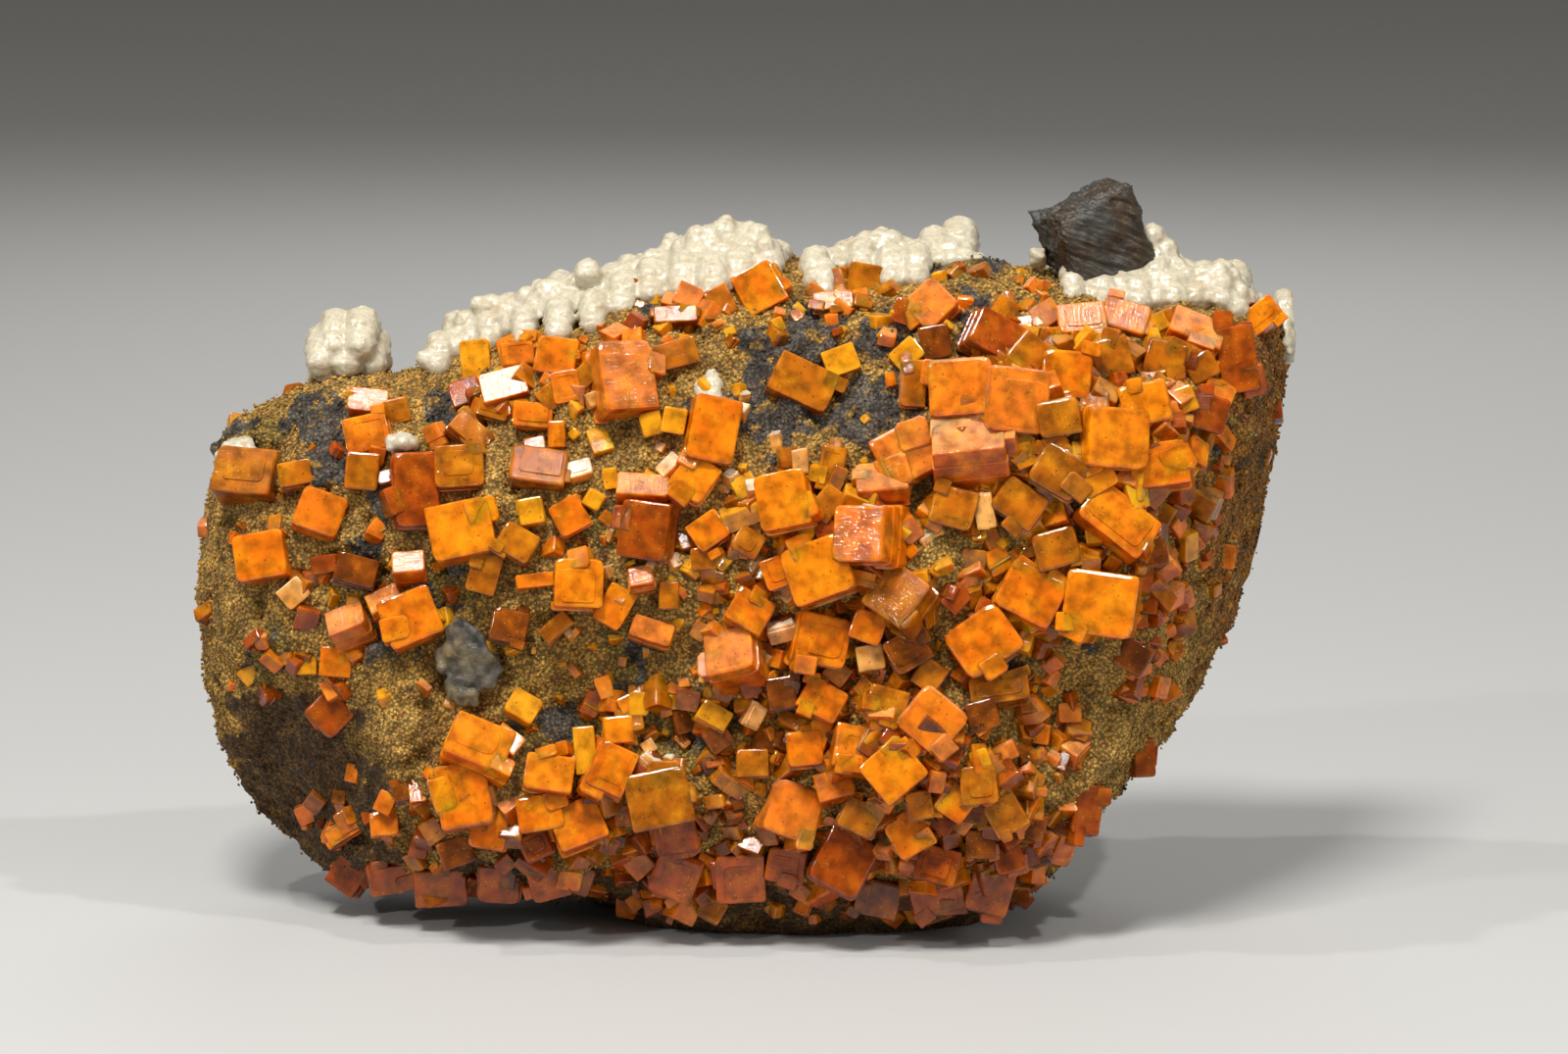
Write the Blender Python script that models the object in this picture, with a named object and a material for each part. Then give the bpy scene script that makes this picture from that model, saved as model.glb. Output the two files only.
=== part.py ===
"""A wulfenite specimen: square orange crystals and white calcite crusts on a slab of tan granular matrix.

Lengths in the tables are millimetres. The layout was measured square to the specimen's front, so the
crystals and crusts are placed by (u, v): millimetres to the right of the foot's middle and above the
foot, on a plane through the foot that faces an eye standing VIEW_DISTANCE away and a little above.
"""

import math

import bmesh
import bpy
from mathutils import Matrix, Vector, noise
from mathutils.bvhtree import BVHTree

MM = 0.001

# Eye from which the front was measured
VIEW_DISTANCE = 560.0
VIEW_LIFT_DEG = 10.0
VIEW_SIDE = 4.0
VIEW_RISE = 41.75
FOOT = Vector((0.0, -9.0, 0.0))
FACE_MIDDLE = (0.0, 36.0)

# Moves the finished specimen so that the middle of its box stands over the origin
CENTRE_SHIFT = Vector((0.09, -1.8, 0.0))

# Seed of the random lumps, so that every build is the same
NOISE_SEED = 7

# Joint between neighbouring pieces, and the volume under which a cut-off bit is dropped
GAP = 0.3
CHIP_VOLUME = 2.0

# Matrix slab: x, bottom, middle and top height, front, middle and back depth, lean of the section
STATIONS = (
    (-57.0, 28.0, 32.0, 37.0, 7.0, 10.0, 13.0, 0.0),
    (-55.8, 21.0, 31.5, 43.0, 2.0, 9.0, 16.0, 0.0),
    (-53.4, 14.0, 31.0, 49.0, -2.5, 8.0, 18.0, 0.0),
    (-49.0, 8.0, 30.0, 53.2, -6.5, 7.0, 20.0, 0.0),
    (-42.5, 3.6, 29.0, 55.6, -10.0, 6.5, 22.0, 0.0),
    (-34.0, 2.2, 30.0, 57.6, -12.5, 6.5, 24.0, 0.0),
    (-24.0, 2.2, 32.0, 61.4, -15.0, 6.0, 25.5, 0.0),
    (-16.0, 1.0, 33.5, 64.6, -16.3, 6.0, 26.2, 0.0),
    (-10.0, -2.4, 34.5, 66.6, -16.6, 6.0, 26.5, 0.0),
    (0.0, -3.0, 36.0, 67.8, -17.0, 6.0, 27.0, 0.0),
    (12.0, -2.6, 38.0, 67.2, -17.0, 6.0, 27.0, 0.0),
    (22.0, -1.6, 39.0, 67.2, -17.0, 6.0, 27.0, 0.0),
    (30.0, 1.5, 40.0, 66.6, -17.0, 6.5, 26.5, 0.02),
    (35.0, 5.6, 40.5, 65.8, -16.8, 7.0, 26.5, 0.05),
    (40.0, 9.8, 41.5, 65.0, -16.4, 7.5, 26.5, 0.09),
    (45.5, 14.8, 42.5, 64.4, -15.5, 8.5, 26.0, 0.12),
    (49.0, 17.6, 43.0, 63.8, -13.0, 9.5, 26.0, 0.12),
    (51.8, 22.0, 44.0, 63.2, -8.5, 11.0, 25.0, 0.12),
    (54.2, 27.0, 45.0, 62.2, -1.0, 13.0, 24.0, 0.12),
    (56.2, 34.0, 46.0, 61.0, 7.5, 15.5, 22.5, 0.12),
    (57.4, 43.0, 49.0, 58.5, 14.5, 17.5, 20.5, 0.12),
)
LEAN_HEIGHT = 60.0
ABOVE_ALL = 100.0
FRONT_TOP_POWER = 2.25
FRONT_BOTTOM_POWER = 3.1
BACK_POWER = 2.7
SLAB_STATIONS = 29
SLAB_FRONT_POINTS = 15
SLAB_BACK_POINTS = 10

# Ledges, hollows and lumps of the front face: u, v, half width, half height, how far it stands out
RELIEF = (
    (-45.0, 14.0, 7.5, 11.0, -4.5),
    (-50.0, 10.0, 7.0, 8.0, -3.0),
    (-34.5, 22.0, 3.0, 8.0, 1.6),
    (-42.8, 49.0, 3.2, 4.2, 2.4),
    (-51.0, 32.0, 6.0, 8.0, 1.4),
    (-12.0, 4.5, 4.5, 4.5, -3.5),
    (-12.0, 26.0, 13.0, 7.5, -1.4),
    (-1.0, 20.0, 9.0, 5.0, -1.2),
    (5.0, 58.0, 9.0, 5.0, -1.2),
    (26.0, 53.0, 8.0, 7.0, 2.6),
    (38.0, 51.0, 7.0, 8.0, 1.6),
    (14.0, 39.0, 8.0, 6.0, 1.8),
    (20.0, 13.0, 12.0, 11.0, 3.0),
    (35.0, 23.0, 7.0, 6.0, -2.6),
    (-26.0, 14.0, 7.0, 7.0, 1.8),
    (-31.0, 44.0, 8.0, 8.0, 1.6),
    (-19.0, 56.0, 8.0, 4.0, 1.2),
    (48.0, 37.0, 5.5, 15.0, -6.5),
    (45.5, 23.0, 5.0, 8.0, -4.5),
)

# Slow waves over the whole slab: wavelength and height
WAVES = ((16.0, 1.5), (6.5, 0.7))

# Broken faces of the back, which meet in ridges: size and depth. They fade towards the foot and the ends.
BREAKS = ((24.0, 7.0), (9.0, 2.2))
BREAK_FOOT = 10.0
FULL_BACK = 20.0

# Crystals: u, v, side, side, thickness, roll, pitch, yaw, spin (degrees).
# Those under SMALLEST_SIDE are too slight for the solids. A group with none of LARGE_SIDE grows
# as one piece with the matrix, and one of BEVELLED_SIDE has bevelled rims.
CRYSTALS = (
    # Below the left and middle crusts
    (-12.5, 56.6, 6.0, 7.6, 5.0, 4, 14, 18, 0),
    (-19.0, 59.0, 4.2, 3.8, 3.2, -8, 10, -10, 0),
    (-23.2, 59.0, 3.4, 2.6, 2.6, 5, 20, 10, 0),
    (-27.4, 58.4, 3.2, 4.8, 2.6, 6, 10, 0, 0),
    (-24.4, 55.8, 4.8, 3.4, 3.0, 15, 25, 0, 0),
    (-28.4, 55.2, 3.2, 2.8, 2.4, 20, 20, 0, 0),
    (-7.0, 59.2, 4.4, 2.8, 2.4, 15, 10, 0, 0),
    (-7.0, 63.0, 4.4, 1.8, 2.8, 3, 20, 0, 0),
    (-5.8, 65.0, 2.8, 2.6, 2.0, -25, 20, 0, 0),
    (-2.4, 64.6, 2.6, 3.2, 2.0, 25, 10, 0, 0),
    (1.6, 65.8, 4.6, 4.8, 3.4, 28, 12, 0, 0),
    (3.6, 68.7, 3.8, 2.2, 0.5, -50, 80, 0, 0),
    (-15.5, 65.2, 5.0, 1.6, 1.8, -48, 15, 0, 0),
    (8.8, 66.5, 3.0, 2.8, 2.2, 12, 15, 0, 0),
    (12.2, 67.0, 3.4, 3.0, 2.2, -10, 10, 0, 0),
    (9.0, 64.6, 4.2, 2.2, 2.0, 5, 20, 0, 0),
    (19.2, 64.0, 4.6, 4.6, 3.6, 45, 20, 0, 0),
    (16.6, 63.4, 3.2, 3.2, 2.6, -20, 10, 0, 0),
    (16.6, 59.2, 3.2, 2.6, 2.0, 42, 10, 0, 0),
    (17.2, 56.3, 2.8, 5.0, 2.4, -3, 5, 0, 0),
    (5.8, 56.2, 6.4, 4.4, 3.2, -25, 15, 0, 0),
    (9.8, 58.6, 3.4, 2.8, 2.2, 20, 10, 0, 0),
    (19.4, 60.6, 3.0, 3.4, 2.4, 10, 0, 0, 0),
    # Upper right
    (25.4, 60.8, 6.0, 4.6, 4.0, -28, 20, 10, 0),
    (28.8, 59.2, 3.8, 4.0, 3.0, -40, 10, 0, 0),
    (22.2, 55.8, 6.6, 6.0, 4.4, 4, 8, -8, 0),
    (27.4, 54.6, 6.4, 6.8, 4.6, -6, 5, 14, 0),
    (23.0, 49.6, 7.6, 5.2, 5.2, 6, 42, -6, 0),
    (32.7, 57.2, 5.4, 5.2, 4.0, -4, 6, 0, 0),
    (34.4, 62.4, 5.2, 3.6, 3.6, 5, 25, 0, 0),
    (38.6, 62.6, 5.0, 3.8, 3.4, -15, 25, 0, 0),
    (37.4, 59.0, 4.2, 4.4, 3.0, 15, 0, 0, 0),
    (42.8, 58.8, 4.6, 4.2, 3.4, -14, 5, 0, 0),
    (45.8, 61.2, 5.6, 3.4, 3.6, -22, 35, 0, 0),
    (50.0, 58.8, 4.6, 7.4, 4.2, 8, 0, 5, 0),
    (46.5, 58.0, 3.4, 3.0, 2.6, 30, 0, 0, 0),
    (52.4, 62.8, 5.0, 2.8, 2.6, 38, 10, 0, 0),
    (40.8, 54.2, 5.2, 4.6, 3.4, 12, 5, 0, 0),
    (37.5, 50.7, 6.6, 6.2, 4.6, -4, 5, 16, 0),
    (42.2, 47.8, 6.2, 4.8, 4.2, 8, 10, 0, 0),
    (47.0, 53.4, 4.0, 3.8, 3.2, -15, 0, 10, 0),
    (44.6, 54.6, 2.8, 2.6, 2.0, 20, 0, 0, 0),
    (32.0, 52.9, 4.4, 3.8, 3.0, 10, 0, 0, 0),
    (16.6, 49.0, 6.0, 5.6, 4.0, 28, 12, 0, 0),
    (32.0, 47.4, 5.4, 4.8, 3.6, -30, 0, 0, 0),
    (35.8, 46.7, 4.2, 3.4, 3.0, 30, 0, 0, 0),
    (37.8, 42.2, 7.6, 4.6, 4.4, -38, 15, 0, 0),
    (21.2, 43.7, 4.4, 4.0, 3.2, -15, 0, 0, 0),
    (25.1, 43.5, 3.8, 2.6, 0.9, -80, 80, 0, 0),
    (28.0, 44.2, 5.2, 4.2, 3.2, -35, 0, 0, 0),
    (31.8, 39.5, 4.6, 4.0, 3.2, 15, 0, 0, 0),
    # Middle right
    (29.0, 34.8, 6.4, 5.4, 4.2, -28, 5, 0, 0),
    (36.5, 33.9, 7.2, 6.4, 5.0, -8, 0, -10, 0),
    (24.3, 30.0, 7.0, 6.0, 4.6, 35, 5, 0, 0),
    (16.0, 34.2, 5.6, 5.8, 5.0, -35, 5, -22, 0),
    (7.8, 37.2, 6.6, 6.0, 5.0, 20, 8, -10, 0),
    (3.2, 37.0, 2.6, 3.2, 2.4, 20, 5, 0, 0),
    (12.8, 40.8, 6.2, 6.4, 6.0, -1, 6, -24, 0),
    (14.0, 46.0, 5.2, 3.6, 3.0, 5, 38, 0, 0),
    (4.3, 44.2, 5.4, 6.0, 4.6, 12, 12, -10, 0),
    (8.8, 47.7, 2.6, 4.6, 2.2, -12, 0, 0, 0),
    (8.5, 44.2, 2.6, 3.4, 2.4, -40, 0, 0, 0),
    (6.3, 48.5, 2.6, 2.0, 0.6, -85, 80, 0, 0),
    (-3.4, 51.5, 4.8, 6.6, 4.2, -12, 8, 8, 0),
    (-5.2, 46.5, 4.4, 4.8, 3.8, -35, 10, 0, 0),
    (-9.8, 41.4, 5.6, 6.4, 4.2, -8, 0, -14, 0),
    (-10.4, 45.4, 5.2, 2.6, 2.8, -4, 30, 0, 0),
    (-0.4, 43.6, 4.4, 3.0, 1.0, 22, 70, 0, 0),
    (-3.6, 41.2, 4.0, 3.6, 2.8, 35, 10, 0, 0),
    (-4.2, 38.5, 2.6, 2.4, 1.8, 5, 0, 0, 0),
    (0.4, 40.2, 3.0, 2.8, 2.2, -30, 0, 0, 0),
    # Middle
    (-17.0, 35.9, 5.2, 5.2, 3.6, -2, 4, 4, 0),
    (-21.4, 36.2, 3.8, 1.4, 1.6, 6, 10, 0, 0),
    (-26.4, 37.6, 3.0, 5.2, 2.6, -15, 0, 0, 0),
    (-23.3, 40.0, 4.2, 3.6, 2.8, -30, 10, 0, 0),
    (-21.8, 43.3, 2.8, 3.0, 2.2, 10, 5, 0, 0),
    (-17.8, 42.8, 3.4, 3.6, 2.2, 28, 8, 0, 0),
    (-15.4, 44.5, 2.0, 2.0, 1.4, -30, 0, 0, 0),
    (-13.7, 46.7, 1.6, 2.2, 1.2, 10, 0, 0, 0),
    (-21.0, 47.6, 5.6, 3.8, 3.4, -8, 20, 0, 0),
    (-16.8, 47.4, 2.6, 2.0, 1.6, 15, 30, 0, 0),
    (-7.6, 47.9, 2.6, 1.8, 1.2, 45, 40, 0, 0),
    (-21.6, 53.0, 4.0, 2.6, 2.2, -5, 15, 0, 0),
    (-18.2, 56.0, 2.8, 3.2, 2.4, 10, 5, 0, 0),
    (-19.8, 55.0, 2.4, 2.6, 1.8, 40, 0, 0, 0),
    (-25.6, 53.8, 3.4, 2.6, 2.2, -15, 10, 0, 0),
    (-19.2, 51.2, 1.8, 2.8, 1.4, 2, 0, 0, 0),
    (-21.4, 50.0, 2.2, 1.6, 1.4, 10, 20, 0, 0),
    (-13.3, 33.6, 3.0, 4.2, 2.2, -30, 10, 0, 0),
    (-10.6, 36.5, 2.8, 2.4, 1.8, 10, 20, 0, 0),
    (-7.7, 34.8, 2.2, 3.0, 1.6, 0, 0, 0, 0),
    (-9.5, 31.0, 4.4, 2.4, 2.2, -18, 15, 0, 0),
    (-19.2, 31.5, 3.4, 1.8, 1.4, 42, 10, 0, 0),
    (-24.0, 31.5, 3.8, 3.4, 2.6, -12, 10, 0, 0),
    (-9.5, 52.3, 2.2, 2.4, 1.8, 15, 0, 0, 0),
    (-7.2, 52.6, 2.4, 2.6, 1.8, -10, 0, 0, 0),
    (0.4, 32.9, 4.4, 4.0, 3.0, -30, 15, 0, 0),
    (-0.8, 28.2, 5.4, 5.0, 5.2, 14, 28, -16, 0),
    (3.6, 31.6, 3.0, 2.2, 0.8, 15, 70, 0, 0),
    (7.6, 30.2, 5.6, 5.4, 4.0, -12, 5, 10, 0),
    (12.8, 28.4, 2.8, 2.6, 1.8, 10, 0, 0, 0),
    (12.6, 31.6, 3.4, 3.2, 2.4, -20, 0, 0, 0),
    (16.6, 29.2, 4.4, 4.0, 3.2, 30, 0, 0, 0),
    (18.8, 26.6, 3.0, 3.2, 2.2, -35, 0, 0, 0),
    # Lower right
    (7.8, 24.0, 4.6, 3.8, 3.2, -30, 10, 0, 0),
    (3.8, 24.8, 3.2, 3.6, 2.4, 10, 0, 0, 0),
    (19.0, 22.0, 5.6, 5.4, 4.2, -40, 5, 0, 0),
    (26.0, 25.0, 6.0, 3.0, 3.0, 8, 15, 0, 0),
    (24.2, 22.6, 3.2, 3.0, 2.4, 15, 0, 0, 0),
    (11.2, 18.8, 4.8, 4.6, 3.6, -12, 20, 10, 0),
    (15.2, 16.8, 5.2, 5.0, 3.8, 40, 5, 0, 0),
    (21.2, 19.0, 2.2, 4.2, 1.8, -15, 0, 0, 0),
    (24.0, 18.0, 2.0, 2.2, 1.4, 20, 0, 0, 0),
    (14.4, 23.6, 4.4, 3.6, 3.0, -15, 10, 0, 0),
    (4.6, 12.8, 5.8, 5.8, 4.6, -20, 8, 16, 0),
    (0.8, 17.6, 3.4, 3.0, 2.6, 2, 5, 0, 0),
    (0.4, 22.8, 2.8, 2.4, 0.8, 62, 80, 0, 0),
    (6.2, 19.0, 3.8, 3.8, 2.8, 5, 10, 0, 0),
    (9.2, 15.2, 3.8, 3.0, 2.8, 15, 20, 0, 0),
    (10.0, 7.6, 5.8, 6.4, 4.6, -28, 5, 0, 0),
    (11.8, 12.2, 4.4, 3.8, 3.0, -25, 0, 0, 0),
    (16.8, 10.4, 4.0, 4.0, 3.0, 30, 0, 0, 0),
    (19.6, 7.4, 4.6, 4.0, 3.2, -15, 0, 0, 0),
    (19.5, 4.4, 5.4, 3.8, 3.4, 15, -15, 0, 0),
    (13.6, 4.2, 4.6, 4.0, 3.2, -12, -15, 0, 0),
    (24.8, 5.2, 4.6, 5.4, 3.6, -14, -5, 12, 0),
    (23.8, 15.5, 3.8, 4.0, 3.0, 5, 0, 0, 0),
    (26.6, 12.4, 3.6, 3.8, 2.8, 30, 0, 0, 0),
    (24.0, 9.4, 3.2, 3.0, 2.4, 0, 0, 0, 0),
    (26.8, 8.2, 3.0, 3.4, 2.4, 15, 0, 0, 0),
    (29.2, 11.4, 3.2, 3.0, 2.4, -20, 0, 0, 0),
    (34.6, 13.0, 3.4, 5.6, 3.4, -8, 0, 12, 0),
    (40.6, 18.2, 2.4, 4.0, 2.4, 2, 0, 10, 0),
    (21.6, 13.6, 3.4, 3.6, 2.6, -35, 0, 0, 0),
    (17.8, 13.4, 3.0, 3.2, 2.4, 10, 0, 0, 0),
    (41.4, 39.0, 3.4, 3.0, 2.4, 10, 0, 5, 0),
    (39.6, 28.6, 3.4, 3.2, 2.2, -30, 0, 0, 0),
    # Lower middle and left
    (-3.2, 22.4, 3.4, 2.4, 2.0, -30, 15, 0, 0),
    (-8.7, 14.0, 6.4, 5.8, 4.4, 12, 5, 0, 0),
    (-13.8, 17.0, 4.6, 5.4, 3.6, -25, 10, 10, 0),
    (-16.3, 19.0, 2.2, 4.8, 2.0, 5, 0, 0, 0),
    (-20.0, 16.4, 5.4, 4.2, 3.4, -8, 15, 0, 0),
    (-12.8, 21.0, 3.4, 3.2, 2.4, 5, 5, 0, 0),
    (-10.8, 23.7, 2.0, 2.4, 1.4, 0, 0, 0, 0),
    (-9.3, 17.9, 2.6, 1.8, 0.7, -42, 70, 0, 0),
    (-22.7, 23.3, 3.2, 2.8, 2.4, -30, 20, 0, 0),
    (-27.2, 19.3, 6.6, 5.0, 4.2, -22, 22, 0, 0),
    (-28.6, 14.2, 5.4, 6.6, 4.2, 10, 8, 0, 0),
    (-20.8, 12.5, 4.6, 3.6, 3.0, 10, 5, 0, 0),
    (-17.0, 11.2, 5.4, 4.8, 3.8, -8, 15, 0, 30),
    (-21.3, 9.3, 3.2, 3.0, 2.4, 25, 0, 0, 0),
    (-25.0, 5.6, 4.6, 4.2, 3.4, -3, -10, 0, 0),
    (-40.2, 6.4, 4.0, 4.2, 3.0, -35, -10, -10, 0),
    (-36.2, 6.0, 4.6, 3.4, 3.0, 10, -10, 0, 0),
    (-31.0, 5.4, 5.4, 4.0, 3.4, 3, -15, 0, 0),
    (-20.0, 5.6, 4.2, 3.6, 3.0, 15, -10, 0, 0),
    (-17.0, 6.0, 3.2, 3.0, 2.4, -20, -10, 0, 0),
    (-7.0, 6.4, 5.0, 5.0, 3.8, -20, -10, 0, 0),
    (-0.4, 6.2, 5.0, 5.0, 3.8, 3, -10, 0, 0),
    (-7.0, 10.2, 4.6, 3.4, 3.2, 10, -5, 0, 0),
    (-26.0, 11.0, 4.0, 4.4, 3.0, -10, 0, 0, 0),
    (-29.4, 8.6, 3.6, 3.0, 2.6, 20, 0, 0, 0),
    (4.2, 7.4, 4.0, 3.6, 3.0, -10, -5, 0, 0),
    (-40.8, 10.6, 3.8, 1.8, 2.0, 32, 10, 0, 0),
    (-36.7, 11.4, 3.2, 2.6, 2.2, 5, 5, 0, 0),
    (-34.8, 15.0, 2.6, 2.8, 2.0, 20, 10, 0, 0),
    # Left
    (-49.0, 38.6, 5.4, 4.8, 4.0, 10, 8, -12, 0),
    (-46.0, 35.0, 2.8, 2.4, 2.0, 40, 0, 0, 0),
    (-40.2, 31.6, 4.4, 3.4, 3.4, 22, 38, -8, 0),
    (-34.0, 32.3, 5.6, 5.2, 4.0, 22, 10, 0, 0),
    (-36.6, 34.0, 3.6, 2.4, 2.4, 25, 25, 0, 0),
    (-50.6, 46.8, 6.4, 5.0, 4.4, -5, 20, -15, 0),
    (-45.8, 47.0, 3.6, 2.8, 2.6, 10, 10, 0, 0),
    (-43.4, 43.0, 4.8, 4.4, 3.2, -20, 15, 0, 0),
    (-38.4, 51.0, 4.8, 4.2, 3.2, 12, 15, 0, 0),
    (-38.4, 54.3, 4.2, 2.6, 2.6, -5, 20, 0, 0),
    (-35.4, 53.6, 2.4, 2.6, 1.8, 15, 0, 0, 0),
    (-33.6, 45.4, 4.8, 7.8, 4.2, 3, 4, 10, 0),
    (-39.0, 47.4, 3.4, 3.8, 2.6, -5, 0, 0, 0),
    (-29.0, 47.7, 5.2, 4.6, 3.4, 3, 10, 0, 0),
    (-28.0, 51.2, 4.6, 2.6, 2.4, -40, 20, 0, 0),
    (-28.8, 41.2, 6.4, 5.6, 4.0, 12, 10, 0, 0),
    (-34.2, 37.6, 3.4, 2.6, 2.6, 5, 30, 0, 0),
    (-39.6, 37.2, 4.6, 3.4, 3.0, -15, 10, 0, 0),
    (-44.8, 28.0, 2.4, 2.6, 2.0, 0, 0, 0, 0),
    (-41.7, 28.0, 3.2, 3.0, 2.4, -5, 0, 0, 0),
    (-41.5, 25.4, 3.2, 2.2, 2.0, 30, 15, 0, 0),
    (-42.2, 22.8, 3.8, 4.0, 3.0, 45, 0, 0, 0),
)
BEVEL_SHARE = 0.12
STAND_SHARE = 0.1
BEVELLED_SIDE = 6.0
LARGE_SIDE = 4.3
SMALLEST_SIDE = 3.1

# Calcite crusts: name, then (u, v, rise) along the lower front edge, and how far back each runs
CRUSTS = (
    ("calcite_crust_left", ((-44.4, 57.6, 3.4), (-40.0, 57.4, 3.8), (-36.4, 57.4, 3.2)), 6.0),
    (
        "calcite_crust_main",
        (
            (-32.2, 57.4, 3.4),
            (-28.5, 61.0, 3.4),
            (-22.0, 61.4, 3.2),
            (-14.2, 63.0, 2.6),
            (-12.6, 65.4, 2.4),
            (-8.8, 67.6, 2.6),
            (-4.8, 67.0, 3.6),
            (0.0, 67.6, 3.8),
            (4.6, 68.4, 2.4),
        ),
        11.0,
    ),
    (
        "calcite_crust_middle",
        (
            (6.0, 67.4, 1.6),
            (10.0, 68.6, 2.2),
            (13.0, 68.4, 4.0),
            (18.5, 67.6, 2.4),
            (20.5, 68.0, 1.8),
            (24.0, 68.6, 2.2),
        ),
        9.0,
    ),
    (
        "calcite_crust_right",
        (
            (31.8, 65.2, 1.2),
            (37.0, 64.4, 1.4),
            (40.0, 64.4, 3.4),
            (42.0, 64.4, 4.8),
            (44.4, 64.4, 3.4),
            (50.5, 64.0, 3.0),
            (53.4, 65.0, 2.0),
        ),
        10.0,
    ),
)
KNOB_SPACING = 2.5
KNOB_LENGTH = 1.7
KNOB_LOW = 0.9
KNOB_SPREAD = 1.2
RIM_SHARE = 0.4
BACK_DROP = 0.35
CRUST_WANDER = 0.7
CRUST_WANDER_SHARE = 0.4
CRUST_ROOT = 1.5

# Single calcite bodies: name, u, v, half width, half height, half depth, how far it stands out
CALCITE_BODIES = (
    ("calcite_tip", 55.0, 61.2, 1.4, 2.5, 2.0, 0.2),
    ("calcite_ball", 30.0, 69.2, 1.3, 1.3, 1.5, 0.4),
    ("calcite_rim", -51.4, 49.4, 2.6, 1.9, 2.2, 0.6),
    ("calcite_cap", -35.0, 50.2, 2.1, 1.4, 2.0, 2.0),
)

# Dark block on the top right edge: middle (x, y, z), size, turns
BLOCK_MIDDLE = Vector((35.6, 4.0, 70.0))
BLOCK_SIZE = Vector((8.8, 7.4, 8.6))
BLOCK_TURNS_DEG = (8.0, -18.0, 24.0)
BLOCK_GROOVES = 4
BLOCK_GROOVE_SIZE = Vector((0.9, 1.6, 12.0))
BLOCK_ROUGHNESS = 0.9
BLOCK_ROUGH_LENGTH = 4.0

# Dark flake on the left of the front face
FLAKE_SPOTS = ((-28.4, 30.4, 2.6), (-26.6, 27.6, 2.7), (-28.6, 25.4, 2.4), (-30.0, 28.4, 1.9))
FLAKE_THICKNESS = 1.0
FLAKE_OUT = 0.2

# Roundness of the single lumps and of the flake's scales
LUMP_SUBDIVISIONS = 1

# Finishes: colour, roughness
MATRIX_FINISH = ((0.42, 0.29, 0.11, 1.0), 0.9)
CRYSTAL_FINISH = ((0.85, 0.30, 0.03, 1.0), 0.15)
CALCITE_FINISH = ((0.82, 0.79, 0.74, 1.0), 0.5)
DARK_FINISH = ((0.07, 0.068, 0.065, 1.0), 0.8)


def view_axes():
    """The right, up and towards-the-eye directions of the measuring plane."""
    lift = math.radians(VIEW_LIFT_DEG)
    right = Vector((1.0, 0.0, 0.0))
    up = Vector((0.0, math.sin(lift), math.cos(lift)))
    towards = Vector((0.0, -math.cos(lift), math.sin(lift)))
    return right, up, towards


RIGHT, UP, TOWARDS = view_axes()
EYE = FOOT + RIGHT * VIEW_SIDE + UP * VIEW_RISE + TOWARDS * VIEW_DISTANCE


def sight(u, v):
    """The direction from the eye through a place on the measuring plane."""
    return (FOOT + RIGHT * u + UP * v - EYE).normalized()


def plane_place(point):
    """Where a point is seen on the measuring plane."""
    ray = point - EYE
    ray *= VIEW_DISTANCE / -ray.dot(TOWARDS)
    seen = EYE + ray - FOOT
    return seen.dot(RIGHT), seen.dot(UP)


def smooth_row(x):
    """The slab's station values at x, on a curve through the stations that never overshoots."""
    last = len(STATIONS) - 1
    span = next((i for i in range(last) if x <= STATIONS[i + 1][0]), last - 1)

    def slope(i, k):
        if i in (0, last):
            return 0.0
        before = (STATIONS[i][k] - STATIONS[i - 1][k]) / (STATIONS[i][0] - STATIONS[i - 1][0])
        after = (STATIONS[i + 1][k] - STATIONS[i][k]) / (STATIONS[i + 1][0] - STATIONS[i][0])
        return 0.0 if before * after <= 0 else 2 * before * after / (before + after)

    low, high = STATIONS[span], STATIONS[span + 1]
    width = high[0] - low[0]
    t = min(1.0, max(0.0, (x - low[0]) / width))
    return [
        low[k] * (1 + 2 * t) * (1 - t) ** 2
        + slope(span, k) * width * t * (1 - t) ** 2
        + high[k] * t * t * (3 - 2 * t)
        - slope(span + 1, k) * width * t * t * (1 - t)
        for k in range(1, 8)
    ]


def waves(point):
    """How far the slab's slow waves lift its surface at a point."""
    return sum(height * noise.noise(point / length) for length, height in WAVES)


def breaks(point):
    """How deep the broken faces of the back lie at a point."""
    return sum(depth * abs(noise.noise(point / length)) for length, depth in BREAKS)


def relief(u, v):
    """How far the ledges, hollows and lumps of the front stand out at a place on it."""
    total = 0.0
    for at_u, at_v, half_u, half_v, height in RELIEF:
        reach = ((u - at_u) / half_u) ** 2 + ((v - at_v) / half_v) ** 2
        if reach < 4.0:
            total += height * math.exp(-1.2 * reach * reach)
    return total


def slab_point(x, angle):
    """A point of the slab's surface: angle 0 is the front, a quarter turn is the top."""
    bottom, middle, top, front, centre, back, lean = smooth_row(x)
    cos, sin = math.cos(angle), math.sin(angle)
    if cos < 0:
        power = BACK_POWER
    else:
        power = FRONT_TOP_POWER if sin > 0 else FRONT_BOTTOM_POWER
    across = math.copysign(abs(cos) ** (2 / power), cos)
    rise = math.copysign(abs(sin) ** (2 / power), sin)
    depth = centre - across * ((centre - front) if cos > 0 else (back - centre))
    height = middle + rise * ((top - middle) if sin > 0 else (middle - bottom))
    point = Vector((x + lean * (height - LEAN_HEIGHT), depth, height))
    outwards = Vector((0.0, -across, rise)).normalized()
    broken = min(1.0, max(0.0, -1.6 * across)) * min(1.0, max(0.0, height / BREAK_FOOT))
    broken *= min(1.0, (back - centre) / FULL_BACK) ** 2
    point += outwards * (waves(point) - broken * breaks(point))
    if cos > 0:
        point.y -= relief(*plane_place(point)) * min(1.0, 1.6 * across)
    point.z = max(point.z, 0.0)
    return point


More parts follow.
